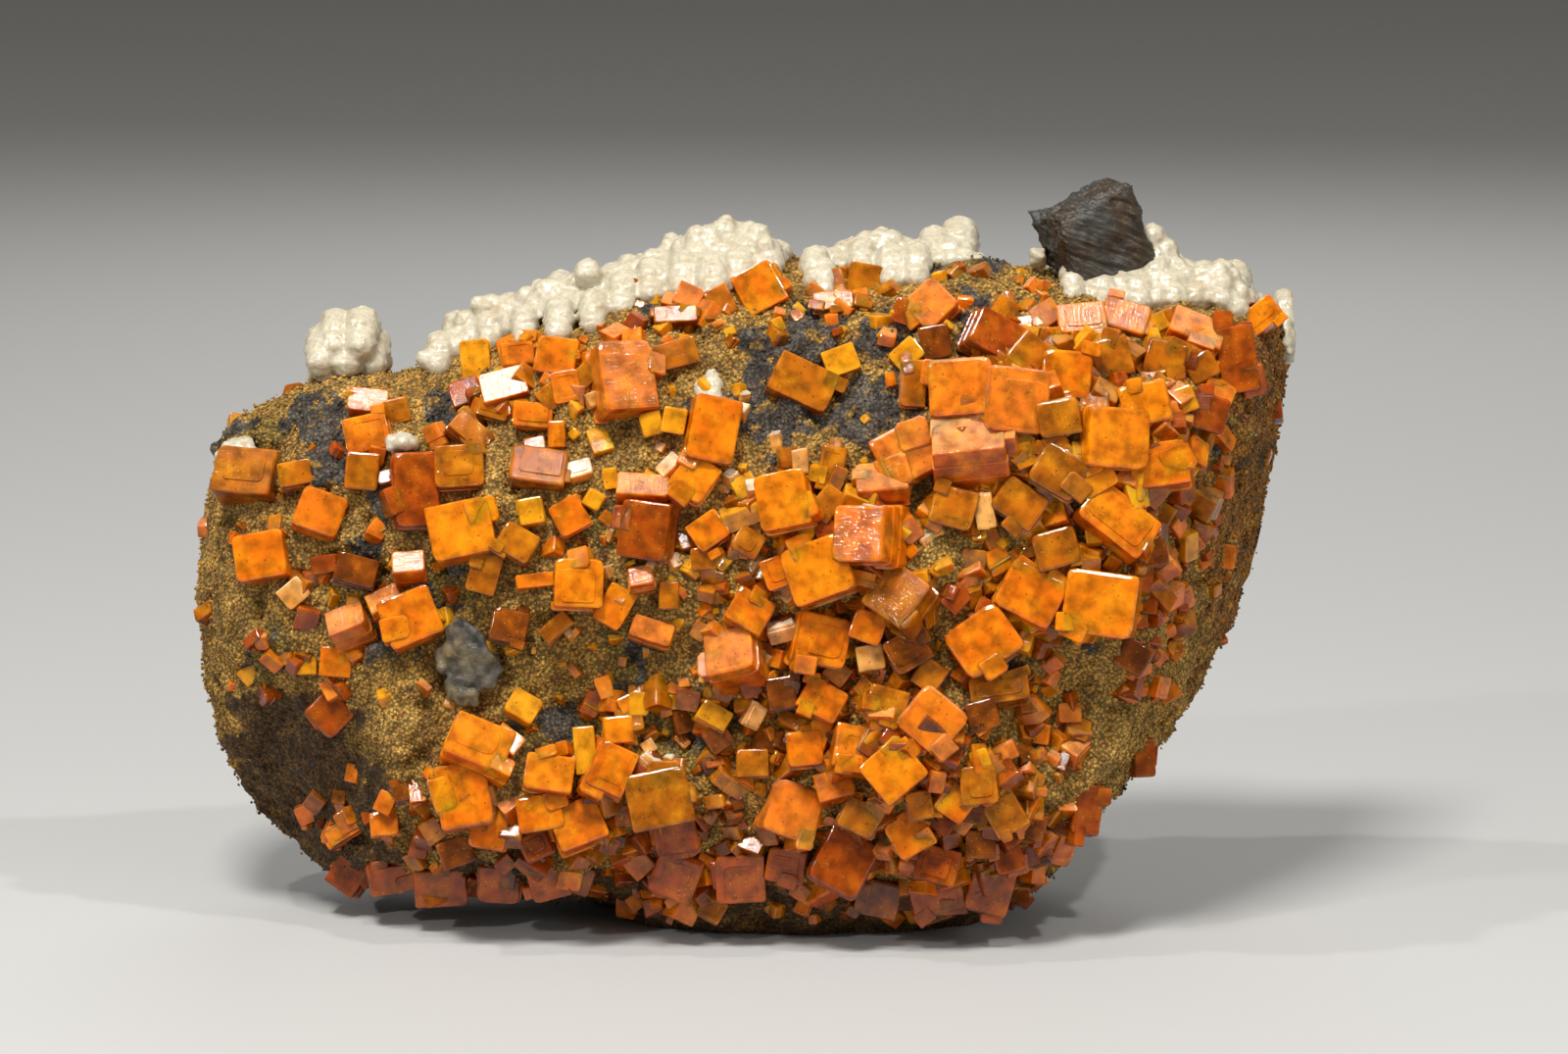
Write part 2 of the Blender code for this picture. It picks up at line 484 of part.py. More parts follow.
def slab_mesh():
    """The slab as a loft of unlike sections, with a point at each end."""
    bm = bmesh.new()
    first, last = STATIONS[0][0], STATIONS[-1][0]
    front = [math.pi * (i / SLAB_FRONT_POINTS - 0.5) for i in range(SLAB_FRONT_POINTS)]
    back = [math.pi * (i / SLAB_BACK_POINTS + 0.5) for i in range(SLAB_BACK_POINTS)]
    angles = front + back
    rings = []
    for i in range(SLAB_STATIONS):
        share = i / (SLAB_STATIONS - 1)
        eased = 0.5 - 0.5 * math.cos(math.pi * share)
        x = first + (last - first) * (0.35 * eased + 0.65 * share)
        rings.append([bm.verts.new(slab_point(x, angle)) for angle in angles])
    for ring, after in zip(rings, rings[1:]):
        for j, vert in enumerate(ring):
            k = (j + 1) % len(ring)
            bm.faces.new((vert, ring[k], after[k], after[j]))
    for ring, push in ((rings[0], -0.4), (rings[-1], 0.4)):
        middle = sum((vert.co for vert in ring), Vector()) / len(ring)
        tip = bm.verts.new(middle + Vector((push, 0.0, 0.0)))
        for j, vert in enumerate(ring):
            bm.faces.new((vert, ring[(j + 1) % len(ring)], tip))
    bmesh.ops.recalc_face_normals(bm, faces=bm.faces)
    bmesh.ops.triangulate(bm, faces=bm.faces)
    return bm


def inflated(bm, by):
    """A copy of a mesh whose surface stands out by a little everywhere."""
    copy = bm.copy()
    copy.normal_update()
    moves = [vert.normal * by for vert in copy.verts]
    for vert, move in zip(copy.verts, moves):
        vert.co += move
    return copy


def crystal_turn(roll, pitch, yaw, spin):
    """A crystal's turn: its own axis starts towards the eye."""
    plane = Matrix((RIGHT, UP, TOWARDS)).transposed()
    turn = Matrix.Rotation(math.radians(roll), 3, "Z")
    turn @= Matrix.Rotation(math.radians(yaw), 3, "Y")
    turn @= Matrix.Rotation(math.radians(-pitch), 3, "X")
    turn @= Matrix.Rotation(math.radians(spin), 3, "Z")
    return (plane @ turn).to_4x4()


def crystal_mesh(surface, row, grow=0.0):
    """One square crystal seated on the slab: a block whose two square faces are bevelled round."""
    u, v, side_a, side_b, thick, roll, pitch, yaw, spin = row
    seat = seat_on(surface, u, v)
    centre = seat - sight(u, v) * (STAND_SHARE * min(side_a, side_b, 4.0))
    bm = bmesh.new()
    bmesh.ops.create_cube(bm, size=1.0)
    if max(side_a, side_b) >= BEVELLED_SIDE:
        rim = [e for e in bm.edges if min(e.verts[0].co.z, e.verts[1].co.z) > 0]
        bmesh.ops.bevel(
            bm, geom=rim, offset=BEVEL_SHARE, offset_type="OFFSET", segments=1, affect="EDGES"
        )
    size = Vector((side_a, side_b, thick)) + Vector((2 * grow, 2 * grow, 2 * grow))
    turn = crystal_turn(roll, pitch, yaw, spin)
    bm.transform(Matrix.Translation(centre) @ turn @ Matrix.Diagonal(size).to_4x4())
    return bm


def seat_on(surface, u, v):
    """Where the sight line through (u, v) meets the slab, or passes over its nearest edge."""
    line = sight(u, v)
    for step in range(30):
        share = 0.01 * step
        nearer = sight(u + share * (FACE_MIDDLE[0] - u), v + share * (FACE_MIDDLE[1] - v))
        met = surface.ray_cast(EYE, nearer)
        if met[0] is not None:
            return EYE + line * met[3]
    raise ValueError(f"the slab is nowhere near {u}, {v}")


def joined(meshes):
    """Several meshes as one, still overlapping."""
    bm = bmesh.new()
    for part in meshes:
        held = bpy.data.meshes.new("held")
        part.to_mesh(held)
        bm.from_mesh(held)
        bpy.data.meshes.remove(held)
    return bm


def scratch_object(bm):
    """A throwaway object in metres for a cut or a join."""
    mesh = bpy.data.meshes.new("scratch")
    bm.to_mesh(mesh)
    mesh.transform(Matrix.Scale(MM, 4))
    obj = bpy.data.objects.new("scratch", mesh)
    bpy.context.scene.collection.objects.link(obj)
    return obj


def combined(bm, other, operation):
    """The mesh cut by the other or joined with it; overlapping bodies of either become one."""
    target, tool = scratch_object(bm), scratch_object(other)
    modifier = target.modifiers.new("combine", "BOOLEAN")
    modifier.operation = operation
    modifier.solver = "EXACT"
    modifier.use_self = True
    modifier.object = tool
    bpy.context.view_layer.update()
    graph = bpy.context.evaluated_depsgraph_get()
    made = bpy.data.meshes.new_from_object(target.evaluated_get(graph))
    result = bmesh.new()
    result.from_mesh(made)
    result.transform(Matrix.Scale(1 / MM, 4))
    for obj in (target, tool):
        mesh = obj.data
        bpy.data.objects.remove(obj)
        bpy.data.meshes.remove(mesh)
    bpy.data.meshes.remove(made)
    bmesh.ops.triangulate(result, faces=result.faces)
    return result


def bodies_of(bm, least=0.0):
    """The closed bodies of a mesh over a least volume, largest first."""
    bm.faces.index_update()
    unseen = set(range(len(bm.faces)))
    faces = list(bm.faces)
    found = []
    while unseen:
        body = {min(unseen)}
        stack = list(body)
        while stack:
            for edge in faces[stack.pop()].edges:
                beyond = {face.index for face in edge.link_faces} - body
                body |= beyond
                stack += beyond
        unseen -= body
        piece = bm.copy()
        rest = [face for face in piece.faces if face.index not in body]
        bmesh.ops.delete(piece, geom=rest, context="FACES")
        found.append((piece.calc_volume(), piece))
    return [piece for volume, piece in sorted(found, key=lambda f: -f[0]) if volume > least]


def largest_left(bm, tools):
    """The largest body that is left when the tools that meet a mesh are cut from it."""
    tree = BVHTree.FromBMesh(bm)
    meeting = [tool for tool in tools if tree.overlap(BVHTree.FromBMesh(tool))]
    return bodies_of(combined(bm, joined(meeting), "DIFFERENCE"))[0]


def touching_groups(meshes):
    """Groups of numbers whose meshes meet."""
    trees = [BVHTree.FromBMesh(bm) for bm in meshes]
    group = list(range(len(meshes)))
    for i in range(len(trees)):
        for j in range(i + 1, len(trees)):
            if group[i] != group[j] and trees[i].overlap(trees[j]):
                old, new = group[j], group[i]
                group = [new if g == old else g for g in group]
    return [[i for i, g in enumerate(group) if g == label] for label in sorted(set(group))]


def lump_mesh(surface, row):
    """One rounded lump on the slab or on a crystal."""
    u, v, half_wide, half_high, half_deep, out = row
    bm = bmesh.new()
    bmesh.ops.create_icosphere(bm, subdivisions=LUMP_SUBDIVISIONS, radius=1.0)
    centre = seat_on(surface, u, v) - sight(u, v) * out
    plane = Matrix((RIGHT, UP, TOWARDS)).transposed().to_4x4()
    size = Matrix.Diagonal((half_wide, half_high, half_deep)).to_4x4()
    bm.transform(Matrix.Translation(centre) @ plane @ size)
    return bm


def flake_mesh(surface):
    """The dark flake: flat scales that overlap."""
    return joined(
        lump_mesh(surface, (u, v, radius, radius, FLAKE_THICKNESS, FLAKE_OUT))
        for u, v, radius in FLAKE_SPOTS
    )


def edge_place(edge, u):
    """The height of a crust's lower edge and its rise at u."""
    before = max(i for i in range(len(edge) - 1) if i == 0 or edge[i][0] <= u)
    (u0, v0, rise0), (u1, v1, rise1) = edge[before : before + 2]
    t = (u - u0) / (u1 - u0)
    return v0 + (v1 - v0) * t, rise0 + (rise1 - rise0) * t


def crust_mesh(surface, edge, run_back):
    """A crust as one knobbly mound over the top of the slab, from its lower front edge backwards."""
    columns = max(4, round((edge[-1][0] - edge[0][0]) / KNOB_SPACING))
    rows = max(3, round(run_back / KNOB_SPACING))
    bm = bmesh.new()
    tops, bases = [], []
    line = sum(seat_on(surface, u, v).y for u, v, _ in edge) / len(edge)
    for i in range(columns + 1):
        u = edge[0][0] + (edge[-1][0] - edge[0][0]) * i / columns
        v, rise = edge_place(edge, u)
        front = seat_on(surface, u, v)
        front.y = line + CRUST_WANDER_SHARE * (front.y - line)
        for j in range(rows + 1):
            wander = noise.noise_vector(Vector((i * 5.3, j * 7.7, edge[0][0])))
            x = front.x + CRUST_WANDER * wander.x
            y = front.y + run_back * j / rows + CRUST_WANDER * wander.y
            ground = surface.ray_cast(Vector((x, y, ABOVE_ALL)), Vector((0.0, 0.0, -1.0)))[0]
            rim = i in (0, columns) or j in (0, rows)
            knob = KNOB_LOW + KNOB_SPREAD * abs(noise.noise(Vector((x, y, 0.0)) / KNOB_LENGTH))
            height = rise * (RIM_SHARE if rim else knob * (1.0 - BACK_DROP * j / rows))
            tops.append(bm.verts.new(ground + Vector((0.0, 0.0, height))))
            bases.append(bm.verts.new(ground - Vector((0.0, 0.0, CRUST_ROOT))))
    wide = rows + 1
    for i in range(columns):
        for j in range(rows):
            a = i * wide + j
            quad = (a, a + 1, a + wide + 1, a + wide)
            bm.faces.new([tops[k] for k in quad])
            bm.faces.new([bases[k] for k in reversed(quad)])
    around = [i * wide for i in range(columns)]
    around += [columns * wide + j for j in range(rows)]
    around += [i * wide + rows for i in range(columns, 0, -1)]
    around += list(range(rows, 0, -1))
    for a, b in zip(around, around[1:] + around[:1]):
        bm.faces.new((tops[a], tops[b], bases[b], bases[a]))
    bmesh.ops.recalc_face_normals(bm, faces=bm.faces)
    bmesh.ops.triangulate(bm, faces=bm.faces)
    return bm


def block_turn():
    """The dark block's place and turn."""
    turn = Matrix.Translation(BLOCK_MIDDLE)
    for axis, angle in zip("XYZ", BLOCK_TURNS_DEG):
        turn @= Matrix.Rotation(math.radians(angle), 4, axis)
    return turn


def plain_block_mesh():
    """The dark block before its grooves: a rough box."""
    bm = bmesh.new()
    bmesh.ops.create_cube(bm, size=1.0)
    bmesh.ops.subdivide_edges(bm, edges=bm.edges[:], cuts=2, use_grid_fill=True)
    bmesh.ops.triangulate(bm, faces=bm.faces)
    bm.transform(Matrix.Diagonal(BLOCK_SIZE).to_4x4())
    for vert in bm.verts:
        vert.co += BLOCK_ROUGHNESS * noise.noise_vector(vert.co / BLOCK_ROUGH_LENGTH)
    bm.transform(block_turn())
    return bm


def groove_mesh(number):
    """A bar on edge that cuts one of the block's grooves."""
    bm = bmesh.new()
    bmesh.ops.create_cube(bm, size=1.0)
    across = BLOCK_SIZE.x * ((number + 0.7) / BLOCK_GROOVES - 0.5)
    place = Matrix.Translation((across, -0.5 * BLOCK_SIZE.y, 0.0))
    on_edge = Matrix.Rotation(math.radians(45.0), 4, "Z")
    bm.transform(block_turn() @ place @ on_edge @ Matrix.Diagonal(BLOCK_GROOVE_SIZE).to_4x4())
    return bm


def finish(name, look):
    """A material with a colour and a roughness."""
    colour, roughness = look
    made = bpy.data.materials.new(name)
    made.use_nodes = True
    shader = made.node_tree.nodes["Principled BSDF"]
    shader.inputs["Base Color"].default_value = colour
    shader.inputs["Roughness"].default_value = roughness
    shader.inputs["Metallic"].default_value = 0.0
    return made


def add_part(collection, name, bm, look):
    """A finished piece in metres, in its place in the specimen."""
    mesh = bpy.data.meshes.new(name)
    bm.to_mesh(mesh)
    mesh.transform(Matrix.Scale(MM, 4) @ Matrix.Translation(CENTRE_SHIFT))
    mesh.materials.append(finish(name, look))
    obj = bpy.data.objects.new(name, mesh)
    collection.objects.link(obj)
    return obj


def main():
    """Builds the whole specimen."""
    noise.seed_set(NOISE_SEED)
    for obj in list(bpy.data.objects):
        bpy.data.objects.remove(obj)
    collection = bpy.data.collections.new("Wulfenite")
    bpy.context.scene.collection.children.link(collection)

    slab = slab_mesh()
    surface = BVHTree.FromBMesh(slab)
    slab_tool = inflated(slab, GAP)

    crystals = [row for row in CRYSTALS if max(row[2:4]) >= SMALLEST_SIDE]
    small, large = [], []
    for group in touching_groups([crystal_mesh(surface, row, GAP / 2) for row in crystals]):
        biggest = max(max(crystals[i][2:4]) for i in group)
        (large if biggest >= LARGE_SIDE else small).append(group)

    small_solids = [crystal_mesh(surface, crystals[i]) for group in small for i in group]
    matrix = combined(slab, joined(small_solids), "UNION")
    add_part(collection, "matrix", bodies_of(matrix)[0], MATRIX_FINISH)

    number = 0
    for group in large:
        solid = joined(crystal_mesh(surface, crystals[i]) for i in group)
        for body in bodies_of(combined(solid, slab_tool, "DIFFERENCE"), CHIP_VOLUME):
            number += 1
            add_part(collection, f"wulfenite_{number:02d}", body, CRYSTAL_FINISH)

    crystal_tools = [crystal_mesh(surface, row, GAP) for row in crystals]
    grooves = [groove_mesh(number) for number in range(BLOCK_GROOVES)]
    block = largest_left(plain_block_mesh(), [slab_tool, *grooves])
    add_part(collection, "dark_block", block, DARK_FINISH)
    flake = largest_left(flake_mesh(surface), [slab_tool, *crystal_tools])
    add_part(collection, "dark_flake", flake, DARK_FINISH)

    tools = [slab_tool, inflated(plain_block_mesh(), GAP), *crystal_tools]
    for name, edge, run_back in CRUSTS:
        crust = largest_left(crust_mesh(surface, edge, run_back), tools)
        add_part(collection, name, crust, CALCITE_FINISH)
        tools.append(inflated(crust, GAP))
    for name, *row in CALCITE_BODIES:
        body = largest_left(lump_mesh(surface, row), tools)
        add_part(collection, name, body, CALCITE_FINISH)


main()
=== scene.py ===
"""The looks of a wulfenite specimen: orange crystals and white calcite crusts on a granular slab.

Lengths in the tables are millimetres. Places on the front are given as (u, v): millimetres to
the right of the foot's middle and above the foot, on a plane through the foot that faces an eye
a little above it.
"""

from __future__ import annotations

import logging
import math
import random
from collections.abc import Callable, Iterable, Sequence
from dataclasses import dataclass, field
from enum import Enum
from functools import cached_property

import bpy
import numpy as np
from mathutils import Matrix, Vector, noise
from mathutils.bvhtree import BVHTree

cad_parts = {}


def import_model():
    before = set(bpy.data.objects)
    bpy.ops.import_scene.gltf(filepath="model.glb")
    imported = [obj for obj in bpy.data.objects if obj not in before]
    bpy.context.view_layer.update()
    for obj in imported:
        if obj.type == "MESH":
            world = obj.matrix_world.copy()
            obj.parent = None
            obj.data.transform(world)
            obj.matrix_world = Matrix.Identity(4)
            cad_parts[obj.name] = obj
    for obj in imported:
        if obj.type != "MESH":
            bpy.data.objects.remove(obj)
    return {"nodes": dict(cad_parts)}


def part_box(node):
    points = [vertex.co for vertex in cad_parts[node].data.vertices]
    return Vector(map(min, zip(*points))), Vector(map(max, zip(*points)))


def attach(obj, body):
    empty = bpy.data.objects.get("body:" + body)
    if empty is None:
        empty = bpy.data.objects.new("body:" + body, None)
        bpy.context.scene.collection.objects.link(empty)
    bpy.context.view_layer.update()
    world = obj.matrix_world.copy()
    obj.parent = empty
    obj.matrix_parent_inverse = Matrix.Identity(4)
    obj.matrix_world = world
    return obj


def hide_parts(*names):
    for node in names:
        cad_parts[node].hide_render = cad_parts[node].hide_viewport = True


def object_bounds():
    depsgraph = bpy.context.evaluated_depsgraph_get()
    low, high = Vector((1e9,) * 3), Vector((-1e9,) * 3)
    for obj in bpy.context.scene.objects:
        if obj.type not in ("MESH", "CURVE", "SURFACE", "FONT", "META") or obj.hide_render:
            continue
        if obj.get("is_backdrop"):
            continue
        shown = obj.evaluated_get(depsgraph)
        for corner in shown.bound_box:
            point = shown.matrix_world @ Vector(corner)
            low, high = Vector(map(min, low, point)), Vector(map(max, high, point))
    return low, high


LOG = logging.getLogger("wulfenite")

MM = 0.001

# Seeds of all that is random, so that every run is the same
NOISE_SEED = 7
GRAIN_SEED = 11
CRUST_SEED = 31
SMALL_SEED = 61
FLAKE_SEED = 71
GROUP_SEED = 101

# Moves the measured specimen so that the middle of its box stands over the origin
CENTRE_SHIFT = Vector((0.09, -1.8, 0.0))

Colour = tuple[float, float, float]
Place = tuple[float, float, float]
Tint = tuple[float, float, float, float]
Ring = tuple[float, float, float, float]
Face = tuple[int, ...]
Span = tuple[float, float]
Ball = tuple[Vector, float]
Object = bpy.types.Object
Mesh = bpy.types.Mesh
Socket = bpy.types.NodeSocket


@dataclass(frozen=True)
class LookColours:
    """The colours of one look.

    Attributes:
        body: Colour of faces towards the front.
        low: Colour of faces that look down, a painted shade: darker and redder because less light
            falls on them.
        frost_and_sheen: Colour of faces that look up: partly their frosting, partly a painted
            sheen, the paler colour of light glancing off them.
        frosting_and_sheen: How much of those faces is frosted and takes that painted sheen.
        kind: Number of the finish it has.
    """

    body: Colour
    low: Colour
    frost_and_sheen: Colour
    frosting_and_sheen: float
    kind: int


class Look(Enum):
    """How one wulfenite crystal looks as a whole."""

    # The second colour of each look is a painted shade for faces that look down; the third is a
    # painted sheen, the paler colour of light glancing off faces that look up, along with their
    # frosting.
    BRIGHT = LookColours((0.98, 0.27, 0.003), (0.90, 0.15, 0.002), (0.98, 0.42, 0.08), 0.2, 0)
    ORANGE = LookColours((0.86, 0.20, 0.002), (0.62, 0.09, 0.001), (0.90, 0.36, 0.09), 0.25, 0)
    AMBER = LookColours((0.60, 0.17, 0.003), (0.34, 0.06, 0.001), (0.66, 0.28, 0.05), 0.2, 1)
    YELLOW = LookColours((0.95, 0.40, 0.008), (0.78, 0.22, 0.004), (0.95, 0.56, 0.14), 0.2, 0)
    RED = LookColours((0.44, 0.075, 0.002), (0.20, 0.028, 0.001), (0.58, 0.19, 0.06), 0.2, 2)
    DARK = LookColours((0.22, 0.050, 0.002), (0.09, 0.017, 0.001), (0.40, 0.17, 0.06), 0.2, 2)
    # The pink look is orange with a pinkish painted sheen; the white look's near-white sheen paints
    # glints on thin plates.
    PINK = LookColours((0.84, 0.21, 0.008), (0.60, 0.09, 0.003), (0.88, 0.42, 0.20), 0.6, 3)
    WHITE = LookColours((0.92, 0.46, 0.13), (0.84, 0.27, 0.03), (0.96, 0.84, 0.70), 1.0, 3)
    GLITTER = LookColours((0.55, 0.16, 0.004), (0.30, 0.06, 0.002), (0.85, 0.50, 0.20), 0.4, 1)


BRIGHT, ORANGE, AMBER, YELLOW, RED, DARK, PINK, WHITE, GLITTER = Look


class Ground(Enum):
    """The kinds of matrix that the slab shows, and a painted shade: colours of the light and the
    dark grains.
    """

    TAN = ((0.56, 0.325, 0.060), (0.31, 0.165, 0.026))
    BLACK = ((0.15, 0.122, 0.090), (0.045, 0.036, 0.026))
    OLIVE = ((0.36, 0.235, 0.035), (0.19, 0.115, 0.015))
    PALE = ((0.64, 0.385, 0.085), (0.40, 0.225, 0.040))
    BROWN = ((0.46, 0.205, 0.024), (0.24, 0.095, 0.012))
    # SHADE is painted shade: the rock's colours made darker for the hollow at the lower left, for
    # the bottom and for spots of the right end.
    SHADE = ((0.18, 0.092, 0.018), (0.08, 0.038, 0.008))


# A crystal: u, v, width, height, thickness, turns (see CrystalGroup.turn) and look
CrystalRow = tuple[float, float, float, float, float, tuple[float, ...], Look]

CRYSTALS: dict[str, tuple[CrystalRow, ...]] = {}
CRYSTALS["crystals_upper_left"] = (
    (-12.5, 56.6, 6, 7.6, 5, (4, 14, 18), PINK), (-19, 59, 4.2, 3.8, 3.2, (-8, 10, -10), ORANGE),
    (-23.2, 59, 3.4, 2.6, 2.6, (5, 20, 10), ORANGE), (-27.4, 58.4, 3.2, 4.8, 2.6, (6, 10), YELLOW),
    (-24.4, 55.8, 4.8, 3.4, 3, (15, 25), PINK), (-28.4, 55.2, 3.2, 2.8, 2.4, (20, 20), RED),
    (-7, 59.2, 4.4, 2.8, 2.4, (15, 10), AMBER), (-7, 63, 4.4, 1.8, 2.8, (3, 20), AMBER),
    (-5.8, 65, 2.8, 2.6, 2, (-25, 20), PINK), (-2.4, 64.6, 2.6, 3.2, 2, (25, 10), AMBER),
    (1.6, 65.8, 4.6, 4.8, 3.4, (28, 12), ORANGE), (3.6, 68.7, 3.8, 2.2, 0.5, (-50, 80), WHITE),
    (-15.5, 65.2, 5, 1.6, 1.8, (-48, 15), ORANGE), (8.8, 66.5, 3, 2.8, 2.2, (12, 15), AMBER),
    (12.2, 67, 3.4, 3, 2.2, (-10, 10), AMBER), (9, 64.6, 4.2, 2.2, 2, (5, 20), AMBER),
    (19.2, 64, 4.6, 4.6, 3.6, (45, 20), PINK), (16.6, 63.4, 3.2, 3.2, 2.6, (-20, 10), RED),
    (16.6, 59.2, 3.2, 2.6, 2, (42, 10), YELLOW), (17.2, 56.3, 2.8, 5, 2.4, (-3, 5), AMBER),
    (5.8, 56.2, 6.4, 4.4, 3.2, (-25, 15), AMBER), (9.8, 58.6, 3.4, 2.8, 2.2, (20, 10), YELLOW),
    (19.4, 60.6, 3, 3.4, 2.4, (10,), DARK),
)
CRYSTALS["crystals_upper_right"] = (
    (25.4, 60.8, 6, 4.6, 4, (-28, 20, 10), RED), (28.8, 59.2, 3.8, 4, 3, (-40, 10), AMBER),
    (22.2, 55.8, 6.6, 6, 4.4, (4, 8, -8), PINK), (27.4, 54.6, 6.4, 6.8, 4.6, (-6, 5, 14), PINK),
    (23, 49.6, 7.6, 5.2, 5.2, (6, 42, -6), PINK), (32.7, 57.2, 5.4, 5.2, 4, (-4, 6), ORANGE),
    (34.4, 62.4, 5.2, 3.6, 3.6, (5, 25), PINK), (38.6, 62.6, 5, 3.8, 3.4, (-15, 25), PINK),
    (37.4, 59, 4.2, 4.4, 3, (15,), GLITTER), (42.8, 58.8, 4.6, 4.2, 3.4, (-14, 5), AMBER),
    (45.8, 61.2, 5.6, 3.4, 3.6, (-22, 35), PINK), (50, 58.8, 4.6, 7.4, 4.2, (8, 0, 5), RED),
    (46.5, 58, 3.4, 3, 2.6, (30,), AMBER), (52.4, 62.8, 5, 2.8, 2.6, (38, 10), BRIGHT),
    (40.8, 54.2, 5.2, 4.6, 3.4, (12, 5), BRIGHT), (37.5, 50.7, 6.6, 6.2, 4.6, (-4, 5, 16), BRIGHT),
    (42.2, 47.8, 6.2, 4.8, 4.2, (8, 10), ORANGE), (47, 53.4, 4, 3.8, 3.2, (-15, 0, 10), RED),
    (44.6, 54.6, 2.8, 2.6, 2, (20,), YELLOW), (32, 52.9, 4.4, 3.8, 3, (10,), GLITTER),
    (16.6, 49, 6, 5.6, 4, (28, 12), PINK), (32, 47.4, 5.4, 4.8, 3.6, (-30,), GLITTER),
    (35.8, 46.7, 4.2, 3.4, 3, (30,), BRIGHT), (37.8, 42.2, 7.6, 4.6, 4.4, (-38, 15), ORANGE),
    (21.2, 43.7, 4.4, 4, 3.2, (-15,), AMBER), (25.1, 43.5, 3.8, 2.6, 0.9, (-80, 80), WHITE),
    (28, 44.2, 5.2, 4.2, 3.2, (-35,), AMBER), (31.8, 39.5, 4.6, 4, 3.2, (15,), AMBER),
)
CRYSTALS["crystals_middle_right"] = (
    (29, 34.8, 6.4, 5.4, 4.2, (-28, 5), ORANGE), (36.5, 33.9, 7.2, 6.4, 5, (-8, 0, -10), BRIGHT),
    (24.3, 30, 7, 6, 4.6, (35, 5), ORANGE), (16, 34.2, 5.6, 5.8, 5, (-35, 5, -22), AMBER),
    (7.8, 37.2, 6.6, 6, 5, (20, 8, -10), BRIGHT), (3.2, 37, 2.6, 3.2, 2.4, (20, 5), ORANGE),
    (12.8, 40.8, 6.2, 6.4, 6, (-1, 6, -24), ORANGE), (14, 46, 5.2, 3.6, 3, (5, 38), PINK),
    (4.3, 44.2, 5.4, 6, 4.6, (12, 12, -10), BRIGHT), (8.8, 47.7, 2.6, 4.6, 2.2, (-12,), AMBER),
    (8.5, 44.2, 2.6, 3.4, 2.4, (-40,), AMBER), (6.3, 48.5, 2.6, 2, 0.6, (-85, 80), WHITE),
    (-3.4, 51.5, 4.8, 6.6, 4.2, (-12, 8, 8), ORANGE),
    (-5.2, 46.5, 4.4, 4.8, 3.8, (-35, 10), BRIGHT), (-9.8, 41.4, 5.6, 6.4, 4.2, (-8, 0, -14), RED),
    (-10.4, 45.4, 5.2, 2.6, 2.8, (-4, 30), PINK), (-0.4, 43.6, 4.4, 3, 1, (22, 70), YELLOW),
    (-3.6, 41.2, 4, 3.6, 2.8, (35, 10), ORANGE), (-4.2, 38.5, 2.6, 2.4, 1.8, (5,), AMBER),
    (0.4, 40.2, 3, 2.8, 2.2, (-30,), AMBER),
)
CRYSTALS["crystals_middle"] = (
    (-17, 35.9, 5.2, 5.2, 3.6, (-2, 4, 4), BRIGHT), (-21.4, 36.2, 3.8, 1.4, 1.6, (6, 10), ORANGE),
    (-26.4, 37.6, 3, 5.2, 2.6, (-15,), AMBER), (-23.3, 40, 4.2, 3.6, 2.8, (-30, 10), AMBER),
    (-21.8, 43.3, 2.8, 3, 2.2, (10, 5), YELLOW), (-17.8, 42.8, 3.4, 3.6, 2.2, (28, 8), ORANGE),
    (-15.4, 44.5, 2, 2, 1.4, (-30,), YELLOW), (-13.7, 46.7, 1.6, 2.2, 1.2, (10,), YELLOW),
    (-21, 47.6, 5.6, 3.8, 3.4, (-8, 20), AMBER), (-16.8, 47.4, 2.6, 2, 1.6, (15, 30), WHITE),
    (-7.6, 47.9, 2.6, 1.8, 1.2, (45, 40), WHITE), (-21.6, 53, 4, 2.6, 2.2, (-5, 15), ORANGE),
    (-18.2, 56, 2.8, 3.2, 2.4, (10, 5), PINK), (-19.8, 55, 2.4, 2.6, 1.8, (40,), AMBER),
    (-25.6, 53.8, 3.4, 2.6, 2.2, (-15, 10), AMBER), (-19.2, 51.2, 1.8, 2.8, 1.4, (2,), ORANGE),
    (-21.4, 50, 2.2, 1.6, 1.4, (10, 20), AMBER), (-13.3, 33.6, 3, 4.2, 2.2, (-30, 10), ORANGE),
    (-10.6, 36.5, 2.8, 2.4, 1.8, (10, 20), PINK), (-7.7, 34.8, 2.2, 3, 1.6, (0,), AMBER),
    (-9.5, 31, 4.4, 2.4, 2.2, (-18, 15), PINK), (-19.2, 31.5, 3.4, 1.8, 1.4, (42, 10), AMBER),
    (-24, 31.5, 3.8, 3.4, 2.6, (-12, 10), DARK), (-9.5, 52.3, 2.2, 2.4, 1.8, (15,), YELLOW),
    (-7.2, 52.6, 2.4, 2.6, 1.8, (-10,), YELLOW), (0.4, 32.9, 4.4, 4, 3, (-30, 15), ORANGE),
    (-0.8, 28.2, 5.4, 5, 5.2, (14, 28, -16), PINK), (3.6, 31.6, 3, 2.2, 0.8, (15, 70), WHITE),
    (7.6, 30.2, 5.6, 5.4, 4, (-12, 5, 10), ORANGE), (12.8, 28.4, 2.8, 2.6, 1.8, (10,), WHITE),
    (12.6, 31.6, 3.4, 3.2, 2.4, (-20,), ORANGE), (16.6, 29.2, 4.4, 4, 3.2, (30,), DARK),
    (18.8, 26.6, 3, 3.2, 2.2, (-35,), AMBER),
)
